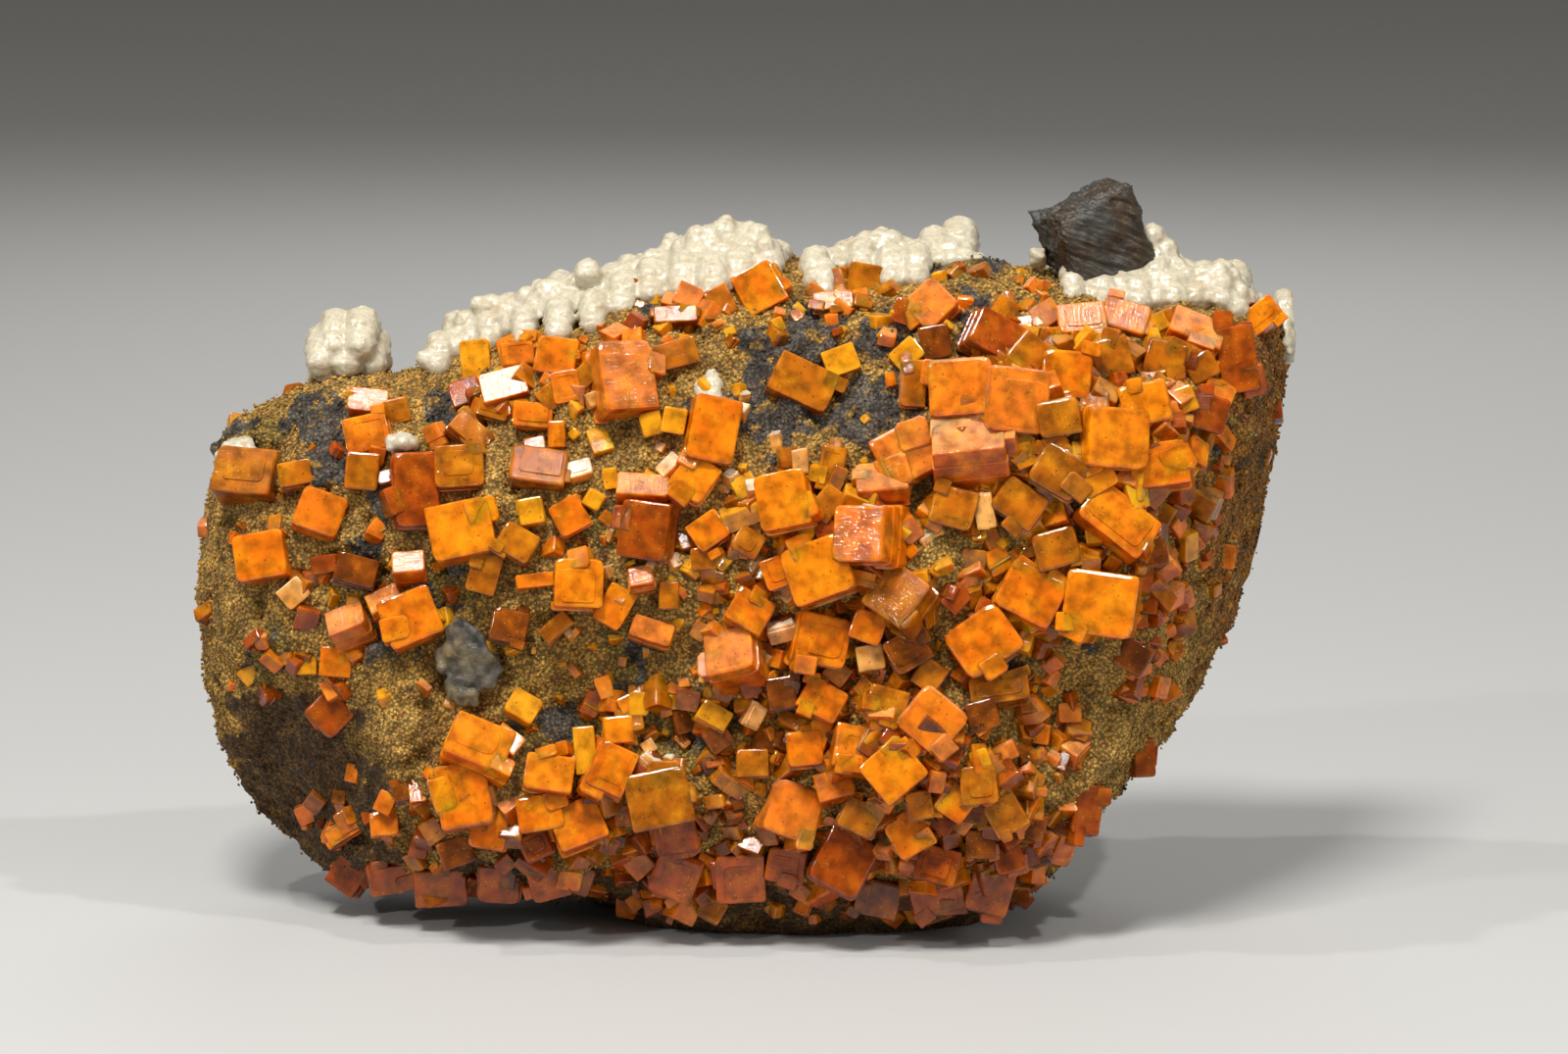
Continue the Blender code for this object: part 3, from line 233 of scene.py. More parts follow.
CRYSTALS["crystals_lower_right"] = (
    (7.8, 24, 4.6, 3.8, 3.2, (-30, 10), ORANGE), (3.8, 24.8, 3.2, 3.6, 2.4, (10,), DARK),
    (19, 22, 5.6, 5.4, 4.2, (-40, 5), PINK), (26, 25, 6, 3, 3, (8, 15), AMBER),
    (24.2, 22.6, 3.2, 3, 2.4, (15,), DARK), (11.2, 18.8, 4.8, 4.6, 3.6, (-12, 20, 10), ORANGE),
    (15.2, 16.8, 5.2, 5, 3.8, (40, 5), BRIGHT), (21.2, 19, 2.2, 4.2, 1.8, (-15,), DARK),
    (24, 18, 2, 2.2, 1.4, (20,), YELLOW), (14.4, 23.6, 4.4, 3.6, 3, (-15, 10), AMBER),
    (4.6, 12.8, 5.8, 5.8, 4.6, (-20, 8, 16), PINK), (0.8, 17.6, 3.4, 3, 2.6, (2, 5), AMBER),
    (0.4, 22.8, 2.8, 2.4, 0.8, (62, 80), WHITE), (6.2, 19, 3.8, 3.8, 2.8, (5, 10), ORANGE),
    (9.2, 15.2, 3.8, 3, 2.8, (15, 20), ORANGE), (10, 7.6, 5.8, 6.4, 4.6, (-28, 5), RED),
    (11.8, 12.2, 4.4, 3.8, 3, (-25,), GLITTER), (16.8, 10.4, 4, 4, 3, (30,), ORANGE),
    (19.6, 7.4, 4.6, 4, 3.2, (-15,), RED), (19.5, 4.4, 5.4, 3.8, 3.4, (15, -15), RED),
    (13.6, 4.2, 4.6, 4, 3.2, (-12, -15), DARK), (24.8, 5.2, 4.6, 5.4, 3.6, (-14, -5, 12), RED),
    (23.8, 15.5, 3.8, 4, 3, (5,), AMBER), (26.6, 12.4, 3.6, 3.8, 2.8, (30,), AMBER),
    (24, 9.4, 3.2, 3, 2.4, (0,), DARK), (26.8, 8.2, 3, 3.4, 2.4, (15,), RED),
    (29.2, 11.4, 3.2, 3, 2.4, (-20,), DARK), (34.6, 13, 3.4, 5.6, 3.4, (-8, 0, 12), RED),
    (40.6, 18.2, 2.4, 4, 2.4, (2, 0, 10), RED), (21.6, 13.6, 3.4, 3.6, 2.6, (-35,), ORANGE),
    (17.8, 13.4, 3, 3.2, 2.4, (10,), AMBER), (41.4, 39, 3.4, 3, 2.4, (10, 0, 5), DARK),
    (39.6, 28.6, 3.4, 3.2, 2.2, (-30,), DARK),
)
CRYSTALS["crystals_lower_left"] = (
    (-3.2, 22.4, 3.4, 2.4, 2, (-30, 15), YELLOW), (-8.7, 14, 6.4, 5.8, 4.4, (12, 5), GLITTER),
    (-13.8, 17, 4.6, 5.4, 3.6, (-25, 10, 10), ORANGE), (-16.3, 19, 2.2, 4.8, 2, (5,), YELLOW),
    (-20, 16.4, 5.4, 4.2, 3.4, (-8, 15), BRIGHT), (-12.8, 21, 3.4, 3.2, 2.4, (5, 5), BRIGHT),
    (-10.8, 23.7, 2, 2.4, 1.4, (0,), YELLOW), (-9.3, 17.9, 2.6, 1.8, 0.7, (-42, 70), WHITE),
    (-22.7, 23.3, 3.2, 2.8, 2.4, (-30, 20), YELLOW), (-27.2, 19.3, 6.6, 5, 4.2, (-22, 22), BRIGHT),
    (-28.6, 14.2, 5.4, 6.6, 4.2, (10, 8), ORANGE), (-20.8, 12.5, 4.6, 3.6, 3, (10, 5), ORANGE),
    (-17, 11.2, 5.4, 4.8, 3.8, (-8, 15, 0, 30), ORANGE), (-21.3, 9.3, 3.2, 3, 2.4, (25,), RED),
    (-25, 5.6, 4.6, 4.2, 3.4, (-3, -10), RED), (-40.2, 6.4, 4, 4.2, 3, (-35, -10, -10), RED),
    (-36.2, 6, 4.6, 3.4, 3, (10, -10), RED), (-31, 5.4, 5.4, 4, 3.4, (3, -15), RED),
    (-20, 5.6, 4.2, 3.6, 3, (15, -10), RED), (-17, 6, 3.2, 3, 2.4, (-20, -10), DARK),
    (-7, 6.4, 5, 5, 3.8, (-20, -10), RED), (-0.4, 6.2, 5, 5, 3.8, (3, -10), RED),
    (-7, 10.2, 4.6, 3.4, 3.2, (10, -5), RED), (-26, 11, 4, 4.4, 3, (-10,), ORANGE),
    (-29.4, 8.6, 3.6, 3, 2.6, (20,), DARK), (4.2, 7.4, 4, 3.6, 3, (-10, -5), RED),
    (-40.8, 10.6, 3.8, 1.8, 2, (32, 10), PINK), (-36.7, 11.4, 3.2, 2.6, 2.2, (5, 5), PINK),
    (-34.8, 15, 2.6, 2.8, 2, (20, 10), DARK),
)
CRYSTALS["crystals_left"] = (
    (-49, 38.6, 5.4, 4.8, 4, (10, 8, -12), ORANGE), (-46, 35, 2.8, 2.4, 2, (40,), WHITE),
    (-40.2, 31.6, 4.4, 3.4, 3.4, (22, 38, -8), PINK), (-34, 32.3, 5.6, 5.2, 4, (22, 10), ORANGE),
    (-36.6, 34, 3.6, 2.4, 2.4, (25, 25), PINK), (-50.6, 46.8, 6.4, 5, 4.4, (-5, 20, -15), AMBER),
    (-45.8, 47, 3.6, 2.8, 2.6, (10, 10), AMBER), (-43.4, 43, 4.8, 4.4, 3.2, (-20, 15), ORANGE),
    (-38.4, 51, 4.8, 4.2, 3.2, (12, 15), ORANGE), (-38.4, 54.3, 4.2, 2.6, 2.6, (-5, 20), ORANGE),
    (-35.4, 53.6, 2.4, 2.6, 1.8, (15,), AMBER), (-33.6, 45.4, 4.8, 7.8, 4.2, (3, 4, 10), RED),
    (-39, 47.4, 3.4, 3.8, 2.6, (-5,), AMBER), (-29, 47.7, 5.2, 4.6, 3.4, (3, 10), AMBER),
    (-28, 51.2, 4.6, 2.6, 2.4, (-40, 20), AMBER), (-28.8, 41.2, 6.4, 5.6, 4, (12, 10), BRIGHT),
    (-34.2, 37.6, 3.4, 2.6, 2.6, (5, 30), PINK), (-39.6, 37.2, 4.6, 3.4, 3, (-15, 10), DARK),
    (-44.8, 28, 2.4, 2.6, 2, (0,), YELLOW), (-41.7, 28, 3.2, 3, 2.4, (-5,), ORANGE),
    (-41.5, 25.4, 3.2, 2.2, 2, (30, 15), PINK), (-42.2, 22.8, 3.8, 4, 3, (45,), RED),
)

# Small crystals: u, v, half width, half height, how many, least and greatest side, their looks
SmallRow = tuple[float, float, float, float, int, float, float, tuple[Look, ...]]
WARM = (ORANGE, AMBER, AMBER, YELLOW, PINK, RED)
LIGHT = (YELLOW, YELLOW, AMBER, ORANGE, WHITE)
DEEP = (RED, RED, DARK, AMBER, ORANGE, PINK)
SMALL_ZONES: tuple[SmallRow, ...] = (
    (9, 14, 25, 12.5, 330, 1.1, 3.1, (*DEEP, ORANGE, AMBER, AMBER)),
    (24, 12, 11, 10, 110, 1.3, 3.2, (*DEEP, ORANGE, GLITTER)),
    (42, 35, 3, 11, 60, 1, 2.6, DEEP),
    (10, 64.5, 22, 4, 100, 1, 2.5, WARM),
    (0, 43, 20, 15, 130, 0.8, 2.2, LIGHT),
    (14, 35, 18, 11, 150, 1.2, 2.8, WARM),
    (-20, 58, 9, 5, 60, 0.9, 2.6, WARM),
    (-41, 38, 12, 14, 60, 0.9, 2.4, WARM),
    (36, 47, 13, 16, 290, 1.2, 3.2, (*WARM, ORANGE, GLITTER)),
    (27, 52, 6, 9, 70, 1.4, 3.2, (ORANGE, AMBER, GLITTER)),
    (-26, 10, 19, 7, 110, 1, 2.8, DEEP),
    (-18, 25, 15, 8, 44, 0.8, 1.8, LIGHT),
)

# Patches of another kind of ground: u, v, half width, half height, kind
PATCHES: tuple[tuple[float, float, float, float, Ground], ...] = (
    (6, 56, 10, 6.5, Ground.BLACK),
    (14.5, 62.3, 2.6, 1.5, Ground.BLACK),
    (23.5, 62.7, 2.2, 3.4, Ground.BLACK),
    (-43, 54.2, 2.6, 1.9, Ground.BLACK),
    (-42.5, 49, 2.8, 3.8, Ground.BLACK),
    (-36.8, 45.2, 1.5, 2.9, Ground.BLACK),
    (-38.8, 39.5, 1.9, 1.6, Ground.BLACK),
    (-31, 53.7, 1.2, 2.4, Ground.BLACK),
    (18.8, 16.2, 1.4, 2.4, Ground.BLACK),
    (27.2, 27.7, 1.5, 1, Ground.BLACK),
    (35, 39, 1.2, 1.2, Ground.BLACK),
    (17.2, 44.2, 1.9, 2.8, Ground.OLIVE),
    (34.5, 23, 6.8, 6.8, Ground.PALE),
    (24, 36, 6, 8, Ground.PALE),
    # This patch is painted shade: the hollow at the lower left is coloured darker.
    (-46, 14, 8, 12, Ground.SHADE),
)

# Balls at the lower edge of each crust: u, v, radius
HANGING: dict[str, tuple[Place, ...]] = {
    "calcite_crust_left": (
        (-43.3, 58.6, 1.7), (-40.6, 58.6, 1.8), (-38, 58.4, 1.7), (-41.9, 60.3, 1.7),
        (-39.2, 60.4, 1.8),
    ),
    "calcite_crust_main": (
        (-31.2, 58.2, 1.5), (-29.5, 60.3, 1.5), (-26, 60.8, 1.6), (-22.5, 60.9, 1.5),
        (-19, 61.6, 1.6), (-15.5, 62.4, 1.5), (-12.5, 64.2, 1.6), (-9.5, 65.6, 1.7),
        (-6.2, 66, 1.8), (-3.2, 65.8, 2), (-0.4, 66.6, 1.7), (2.4, 67.4, 1.6),
        (-3.2, 55, 1.1), (-4.4, 54.6, 0.9),
    ),
    "calcite_crust_middle": (
        (7.2, 66.9, 1.5), (8.2, 65.9, 1.2), (12, 67.6, 1.5), (15, 67, 1.6), (17.6, 67.2, 1.5),
        (19.4, 68.9, 1.6), (22, 69.5, 1.9),
    ),
    "calcite_crust_right": (
        (33.5, 65.4, 1.3), (35.1, 65.5, 1.3), (36.6, 64.9, 1.4), (38.4, 65, 1.5),
        (40.2, 64.7, 1.6), (42, 65, 1.6), (43.8, 65, 1.7), (45.4, 65.3, 1.6),
        (47, 65.2, 1.7), (48.7, 65.4, 1.6), (50.3, 65.4, 1.6),
    ),
    "calcite_tip": ((55.2, 62.8, 1.3), (55.4, 61.2, 1.5), (55.4, 59.6, 1.4)),
}

# Balls of the right crust behind the dark block: u, v, radius
BEHIND_BLOCK = ((41.6, 71.4, 1.5), (42.9, 69.8, 1.6), (40.6, 69.2, 1.6), (41.4, 67.4, 1.8))
BEHIND_DEPTH = 5.0

# Slab: x, bottom, middle and top height, front, middle and back depth, lean of the section
STATIONS = (
    (-57, 28, 32, 37, 7, 10, 13, 0), (-55.8, 21, 31.5, 43, 2, 9, 16, 0),
    (-53.4, 14, 31, 49, -2.5, 8, 18, 0), (-49, 8, 30, 53.2, -6.5, 7, 20, 0),
    (-42.5, 3.6, 29, 55.6, -10, 6.5, 22, 0), (-34, 2.2, 30, 57.6, -12.5, 6.5, 24, 0),
    (-24, 2.2, 32, 61.4, -15, 6, 25.5, 0), (-16, 1, 33.5, 64.6, -16.3, 6, 26.2, 0),
    (-10, -2.4, 34.5, 66.6, -16.6, 6, 26.5, 0), (0, -3, 36, 67.8, -17, 6, 27, 0),
    (12, -2.6, 38, 67.2, -17, 6, 27, 0), (22, -1.6, 39, 67.2, -17, 6, 27, 0),
    (30, 1.5, 40, 66.6, -17, 6.5, 26.5, 0.02), (35, 5.6, 40.5, 65.8, -16.8, 7, 26.5, 0.05),
    (40, 9.8, 41.5, 65, -16.4, 7.5, 26.5, 0.09), (45.5, 14.8, 42.5, 64.4, -15.5, 8.5, 26, 0.12),
    (49, 17.6, 43, 63.8, -13, 9.5, 26, 0.12), (51.8, 22, 44, 63.2, -8.5, 11, 25, 0.12),
    (54.2, 27, 45, 62.2, -1, 13, 24, 0.12), (56.2, 34, 46, 61, 7.5, 15.5, 22.5, 0.12),
    (57.4, 43, 49, 58.5, 14.5, 17.5, 20.5, 0.12),
)

# Ledges, hollows and lumps of the front: u, v, half width, half height, how far it stands out
RELIEF = (
    (-45, 14, 7.5, 11, -4.5), (-50, 10, 7, 8, -3), (-34.5, 22, 3, 8, 1.6),
    (-42.8, 49, 3.2, 4.2, 2.4), (-51, 32, 6, 8, 1.4), (-12, 4.5, 4.5, 4.5, -3.5),
    (-12, 26, 13, 7.5, -1.4), (-1, 20, 9, 5, -1.2), (5, 58, 9, 5, -1.2), (26, 53, 8, 7, 2.6),
    (38, 51, 7, 8, 1.6), (14, 39, 8, 6, 1.8), (20, 13, 12, 11, 3), (35, 23, 7, 6, -2.6),
    (-26, 14, 7, 7, 1.8), (-31, 44, 8, 8, 1.6), (-19, 56, 8, 4, 1.2), (48, 37, 5.5, 15, -6.5),
    (45.5, 23, 5, 8, -4.5),
)

# Slow waves of the slab, broken faces of its back, and its fine roughness: wavelength and height
WAVES = ((16.0, 1.5), (6.5, 0.7))
BREAKS = ((24.0, 7.0), (9.0, 2.2))
ROUGHNESS = ((4.6, 0.55), (2.1, 0.42), (1.0, 0.26))

# Corners of an even grain of radius 1, and its faces as numbers of corners
GRAIN_CORNERS = ((1, 0, 0), (-1, 0, 0), (0, 1, 0), (0, -1, 0), (0, 0, 1), (0, 0, -1))
GRAIN_TOP = ((0, 2, 4), (2, 1, 4), (1, 3, 4), (3, 0, 4))
GRAIN_FACES = (*GRAIN_TOP, (2, 0, 5), (1, 2, 5), (3, 1, 5), (0, 3, 5))

# Small waves of the crusts' skin: wavelength and height
SKIN_WAVES = ((1.1, 0.10), (0.5, 0.05))

# Balls of the crusts: rings and points round; ranges of radius on small pieces, crusts and flake
BALL_NET = (4, 8)
BALL_SIZES: dict[bool, Span] = {False: (0.4, 0.8), True: (0.85, 1.75)}
FLAKE_BALLS = (0.35, 0.7)

# Stations, front points and back points of the coarse net that carries the large crystals
COARSE_NET = (29, 15, 10)


@dataclass
class EyePlane:
    """The plane square to the front on which the specimen was measured.

    Attributes:
        distance: How far the eye is from the plane.
        lift_deg: How far the eye looks down.
        side: How far the eye is to the right of the foot's middle.
        rise: How far the eye is up the plane.
        start: The plane's own foot.
        middle: Place towards which a sight line is led that misses the surface.
        tries: How many times it is led nearer.
        nearer: Share of the way each time.
    """

    distance: float = 560.0
    lift_deg: float = 10.0
    side: float = 4.0
    rise: float = 41.75
    start: Place = (0.0, -9.0, 0.0)
    middle: Span = (0.0, 36.0)
    tries: int = 30
    nearer: float = 0.01

    def __post_init__(self) -> None:
        """Works out the plane's directions and the eye's place."""
        lift = math.radians(self.lift_deg)
        self.right = Vector((1.0, 0.0, 0.0))
        self.up = Vector((0.0, math.sin(lift), math.cos(lift)))
        self.towards = Vector((0.0, -math.cos(lift), math.sin(lift)))
        self.turn = Matrix((self.right, self.up, self.towards)).transposed()
        self.foot = Vector(self.start)
        aside = self.right * self.side + self.up * self.rise
        self.eye = self.foot + aside + self.towards * self.distance

    def sight(self, u: float, v: float) -> Vector:
        """The direction from the eye through a place on the plane."""
        return (self.foot + self.right * u + self.up * v - self.eye).normalized()

    def place(self, point: Vector) -> tuple[float, float]:
        """Where a point is seen on the plane.

        Args:
            point: The point in measured millimetres.

        Returns:
            Millimetres to the right and up.
        """
        ray = point - self.eye
        ray *= self.distance / -ray.dot(self.towards)
        seen = self.eye + ray - self.foot
        return seen.dot(self.right), seen.dot(self.up)

    def at_depth(self, u: float, v: float, y: float) -> Vector:
        """The point at a depth on the sight line through a place."""
        line = self.sight(u, v)
        return self.eye + line * ((y - self.eye.y) / line.y)

    def seat(self, surface: BVHTree, u: float, v: float) -> Vector:
        """Where the sight line through a place meets a surface, or passes over its nearest edge.

        Args:
            surface: The surface to meet.
            u: Millimetres to the right.
            v: Millimetres up.

        Returns:
            The point on the sight line.
        """
        line = self.sight(u, v)
        for step in range(self.tries):
            share = self.nearer * step
            aside, rise = share * (self.middle[0] - u), share * (self.middle[1] - v)
            met = surface.ray_cast(self.eye, self.sight(u + aside, v + rise))
            if met[0] is not None:
                return self.eye + line * met[3]
        raise ValueError(f"the slab is nowhere near {u}, {v}")


PLANE = EyePlane()


def held(value: float) -> float:
    """A value held between 0 and 1."""
    return min(1.0, max(0.0, value))


def powered(value: float, power: float) -> float:
    """The power of a value, with the value's own sign."""
    return math.copysign(abs(value) ** power, value)


def waved(place: Vector, waves: Iterable[Span]) -> float:
    """The sum of smooth random waves at a place, each of a wavelength and a height."""
    return sum(height * noise.noise(place / length) for length, height in waves)


def linked(name: str, data: bpy.types.ID) -> Object:
    """Makes an object of the scene.

    Args:
        name: Its name.
        data: Its mesh, light or camera.

    Returns:
        The object.
    """
    made = bpy.data.objects.new(name, data)
    bpy.context.scene.collection.objects.link(made)
    return made


def read(rows: bpy.types.bpy_prop_collection, value: str, width: int = 3) -> np.ndarray:
    """Reads one value of all rows of a mesh's table.

    Args:
        rows: The rows.
        value: The value's name.
        width: How many numbers it has.

    Returns:
        The numbers, one row for each.
    """
    numbers = np.empty(len(rows) * width)
    rows.foreach_get(value, numbers)
    return numbers.reshape(-1, width)


def keep_tints(mesh: Mesh, domain: str, tints: Sequence[object]) -> None:
    """Keeps the colour and the frosting of each point or corner with a mesh."""
    colours = mesh.color_attributes.new("tint", "FLOAT_COLOR", domain)
    colours.data.foreach_set("color", np.ravel(tints))


def keep_places(mesh: Mesh, places: Sequence[Vector]) -> None:
    """Keeps each point's place in its body's own directions with a mesh."""
    own = mesh.attributes.new("own_place", "FLOAT_VECTOR", "POINT")
    own.data.foreach_set("vector", np.ravel(places))


@dataclass(frozen=True)
class SlabShape:
    """The slab's surface as unlike sections along its length.

    Attributes:
        lean_height: Height at which a leaning section stays in place.
        front_top_power: Squareness of the front's upper half.
        front_bottom_power: Squareness of the front's lower half.
        back_power: Squareness of the back.
        break_foot: Height over which the broken faces of the back come in.
        full_back: Depth of the back at which they are whole.
        tip: How far the middle of each end stands out.
        edge: How fast relief and broken faces come in from the slab's edges.
        relief_reach: Square of the reach of a ledge, in half widths.
        relief_fall: How fast it falls off.
        eased: Share by which sections lie closer at the ends.
    """

    lean_height: float = 60.0
    front_top_power: float = 2.25
    front_bottom_power: float = 3.1
    back_power: float = 2.7
    break_foot: float = 10.0
    full_back: float = 20.0
    tip: float = 0.4
    edge: float = 1.6
    relief_reach: float = 4.0
    relief_fall: float = 1.2
    eased: float = 0.35

    def section(self, x: float) -> list[float]:
        """The station values at x, on a curve through the stations that never overshoots.

        Args:
            x: Place along the slab.

        Returns:
            The seven values after x.
        """
        last = len(STATIONS) - 1
        span = next((i for i in range(last) if x <= STATIONS[i + 1][0]), last - 1)

        def slope(i: int, k: int) -> float:
            """The curve's slope at a station.

            Args:
                i: The station.
                k: Which of its values.

            Returns:
                The slope.
            """
            if i in (0, last):
                return 0.0
            here, back, on = STATIONS[i], STATIONS[i - 1], STATIONS[i + 1]
            before = (here[k] - back[k]) / (here[0] - back[0])
            after = (on[k] - here[k]) / (on[0] - here[0])
            return 0.0 if before * after <= 0 else 2 * before * after / (before + after)

        low, high = STATIONS[span], STATIONS[span + 1]
        width = high[0] - low[0]
        t = held((x - low[0]) / width)
        return [
            low[k] * (1 + 2 * t) * (1 - t) ** 2
            + slope(span, k) * width * t * (1 - t) ** 2
            + high[k] * t * t * (3 - 2 * t)
            - slope(span + 1, k) * width * t * t * (1 - t)
            for k in range(1, 8)
        ]

    def relief(self, u: float, v: float) -> float:
        """How far the ledges, hollows and lumps of the front stand out.

        Args:
            u: Millimetres to the right.
            v: Millimetres up.

        Returns:
            Millimetres outwards.
        """
        total = 0.0
        for at_u, at_v, half_u, half_v, height in RELIEF:
            reach = ((u - at_u) / half_u) ** 2 + ((v - at_v) / half_v) ** 2
            if reach < self.relief_reach:
                total += height * math.exp(-self.relief_fall * reach * reach)
        return total

    def seats(self) -> BVHTree:
        """The coarse surface on which the large crystals were measured."""
        points, faces = self.grid(*COARSE_NET)
        return BVHTree.FromPolygons(points, faces)

    def point(self, x: float, section: Sequence[float], angle: float) -> Vector:
        """A point of the surface.

        Args:
            x: Place along the slab.
            section: The station values there.
            angle: 0 at the front, a quarter turn at the top.

        Returns:
            The point in millimetres.
        """
        bottom, middle, top, front, centre, back, lean = section
        cos, sin = math.cos(angle), math.sin(angle)
        if cos < 0:
            power = self.back_power
        else:
            power = self.front_top_power if sin > 0 else self.front_bottom_power
        across, rise = powered(cos, 2 / power), powered(sin, 2 / power)
        depth = centre - across * ((centre - front) if cos > 0 else (back - centre))
        height = middle + rise * ((top - middle) if sin > 0 else (middle - bottom))
        point = Vector((x + lean * (height - self.lean_height), depth, height))
        outwards = Vector((0.0, -across, rise)).normalized()
        wave = waved(point, WAVES)
        if cos < 0:
            broken = min(1.0, -self.edge * across) * held(height / self.break_foot)
            broken *= min(1.0, (back - centre) / self.full_back) ** 2
            wave -= broken * sum(d * abs(noise.noise(point / size)) for size, d in BREAKS)
        point += outwards * wave
        if cos > 0:
            point.y -= self.relief(*PLANE.place(point)) * min(1.0, self.edge * across)
        point.z = max(point.z, 0.0)
        return point

    def grid(
        self, stations: int, front: int, back: int
    ) -> tuple[list[Vector], list[Face]]:
        """The surface as a closed net of faces.

        Args:
            stations: Number of sections.
            front: Points on the front of each section.
            back: Points on its back.

        Returns:
            The points in millimetres, and the faces as numbers of points.
        """
        first, last = STATIONS[0][0], STATIONS[-1][0]
        angles = [math.pi * (i / front - 0.5) for i in range(front)]
        angles += [math.pi * (i / back + 0.5) for i in range(back)]
        around = len(angles)
        points: list[Vector] = []
        for i in range(stations):
            share = i / (stations - 1)
            eased = 0.5 - 0.5 * math.cos(math.pi * share)
            x = first + (last - first) * (self.eased * eased + (1 - self.eased) * share)
            section = self.section(x)
            points += [self.point(x, section, angle) for angle in angles]
        faces: list[Face] = []
        for i in range(stations - 1):
            for j in range(around):
                k = (j + 1) % around
                a, b = i * around, (i + 1) * around
                faces.append((a + j, b + j, b + k, a + k))
        for start, push in ((0, -self.tip), (len(points) - around, self.tip)):
            middle = sum(points[start : start + around], Vector()) / around
            tip = len(points)
            points.append(middle + Vector((push, 0.0, 0.0)))
            for j in range(around):
                k = (j + 1) % around
                pair = (start + j, start + k) if push < 0 else (start + k, start + j)
                faces.append((*pair, tip))
        return points, faces


@dataclass(frozen=True)
class Room:
    """The box that the finished specimen keeps to.

    Attributes:
        low: Its lowest corner in metres.
        high: Its highest corner in metres.
    """

    low: Vector
    high: Vector

    def kept(self, points: np.ndarray) -> np.ndarray:
        """Points in metres, each moved inside if it was outside."""
        return np.clip(points, np.array(self.low), np.array(self.high))

    def holds(self, points: Iterable[Vector]) -> bool:
        """Whether some points are all inside.

        Args:
            points: The points in measured millimetres.

        Returns:
            True if they are.
        """
        return all(
            self.low[k] < (p[k] + CENTRE_SHIFT[k]) * MM < self.high[k]
            for p in points
            for k in range(3)
        )


class Sheaf:
    """Points, faces and colours of many small bodies, kept until they become one object."""

    def __init__(self) -> None:
        """Starts empty."""
        self.points: list[Vector] = []
        self.faces: list[Face] = []
        self.tints: list[Tint] = []
        self.kinds: list[int] = []
        self.locals: list[Vector] = []

    def add(
        self,
        points: Sequence[Vector],
        faces: Iterable[Face],
        tints: Iterable[Tint],
        kind: int,
        local: Sequence[Vector],
    ) -> None:
        """Adds one closed body.

        Args:
            points: Its points in the measured place, in millimetres.
            faces: Its faces as numbers of its own points.
            tints: A colour and a frosting for each face.
            kind: Which of the object's finishes it has.
            local: Each point in the body's own directions.
        """
        start = len(self.points)
        self.points += points
        added = [tuple(i + start for i in face) for face in faces]
        self.faces += added
        self.tints += tints
        self.kinds += [kind] * len(added)
        self.locals += local

    def build(self, name: str, finishes: Sequence[Finish], room: Room) -> Object:
        """Makes the object.

        Args:
            name: The object's name.
            finishes: Its finishes, in the order of the kinds.
            room: The room that its points keep to.

        Returns:
            The object, in its place.
        """
        mesh = bpy.data.meshes.new(name)
        points = room.kept(np.array([(p + CENTRE_SHIFT) * MM for p in self.points]))
        mesh.from_pydata(points, [], self.faces)
        for finish in finishes:
            mesh.materials.append(finish.material())
        mesh.polygons.foreach_set("material_index", self.kinds)
        corner_tints = [tint for face, tint in zip(self.faces, self.tints) for _ in face]
        keep_tints(mesh, "CORNER", corner_tints)
        keep_places(mesh, self.locals)
        mesh.update()
        return linked(name, mesh)


def settle(piece: Object, nodes: Iterable[str] = ()) -> None:
    """Joins a finished piece to the specimen.

    Args:
        piece: The piece, in its place.
        nodes: The CAD nodes it stands for.
    """
    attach(piece, "root")
    named = tuple(nodes)
    if named:
        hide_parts(*named)
    mesh = piece.data
    LOG.info("%s: %d faces, replaces %d nodes", piece.name, len(mesh.polygons), len(named))


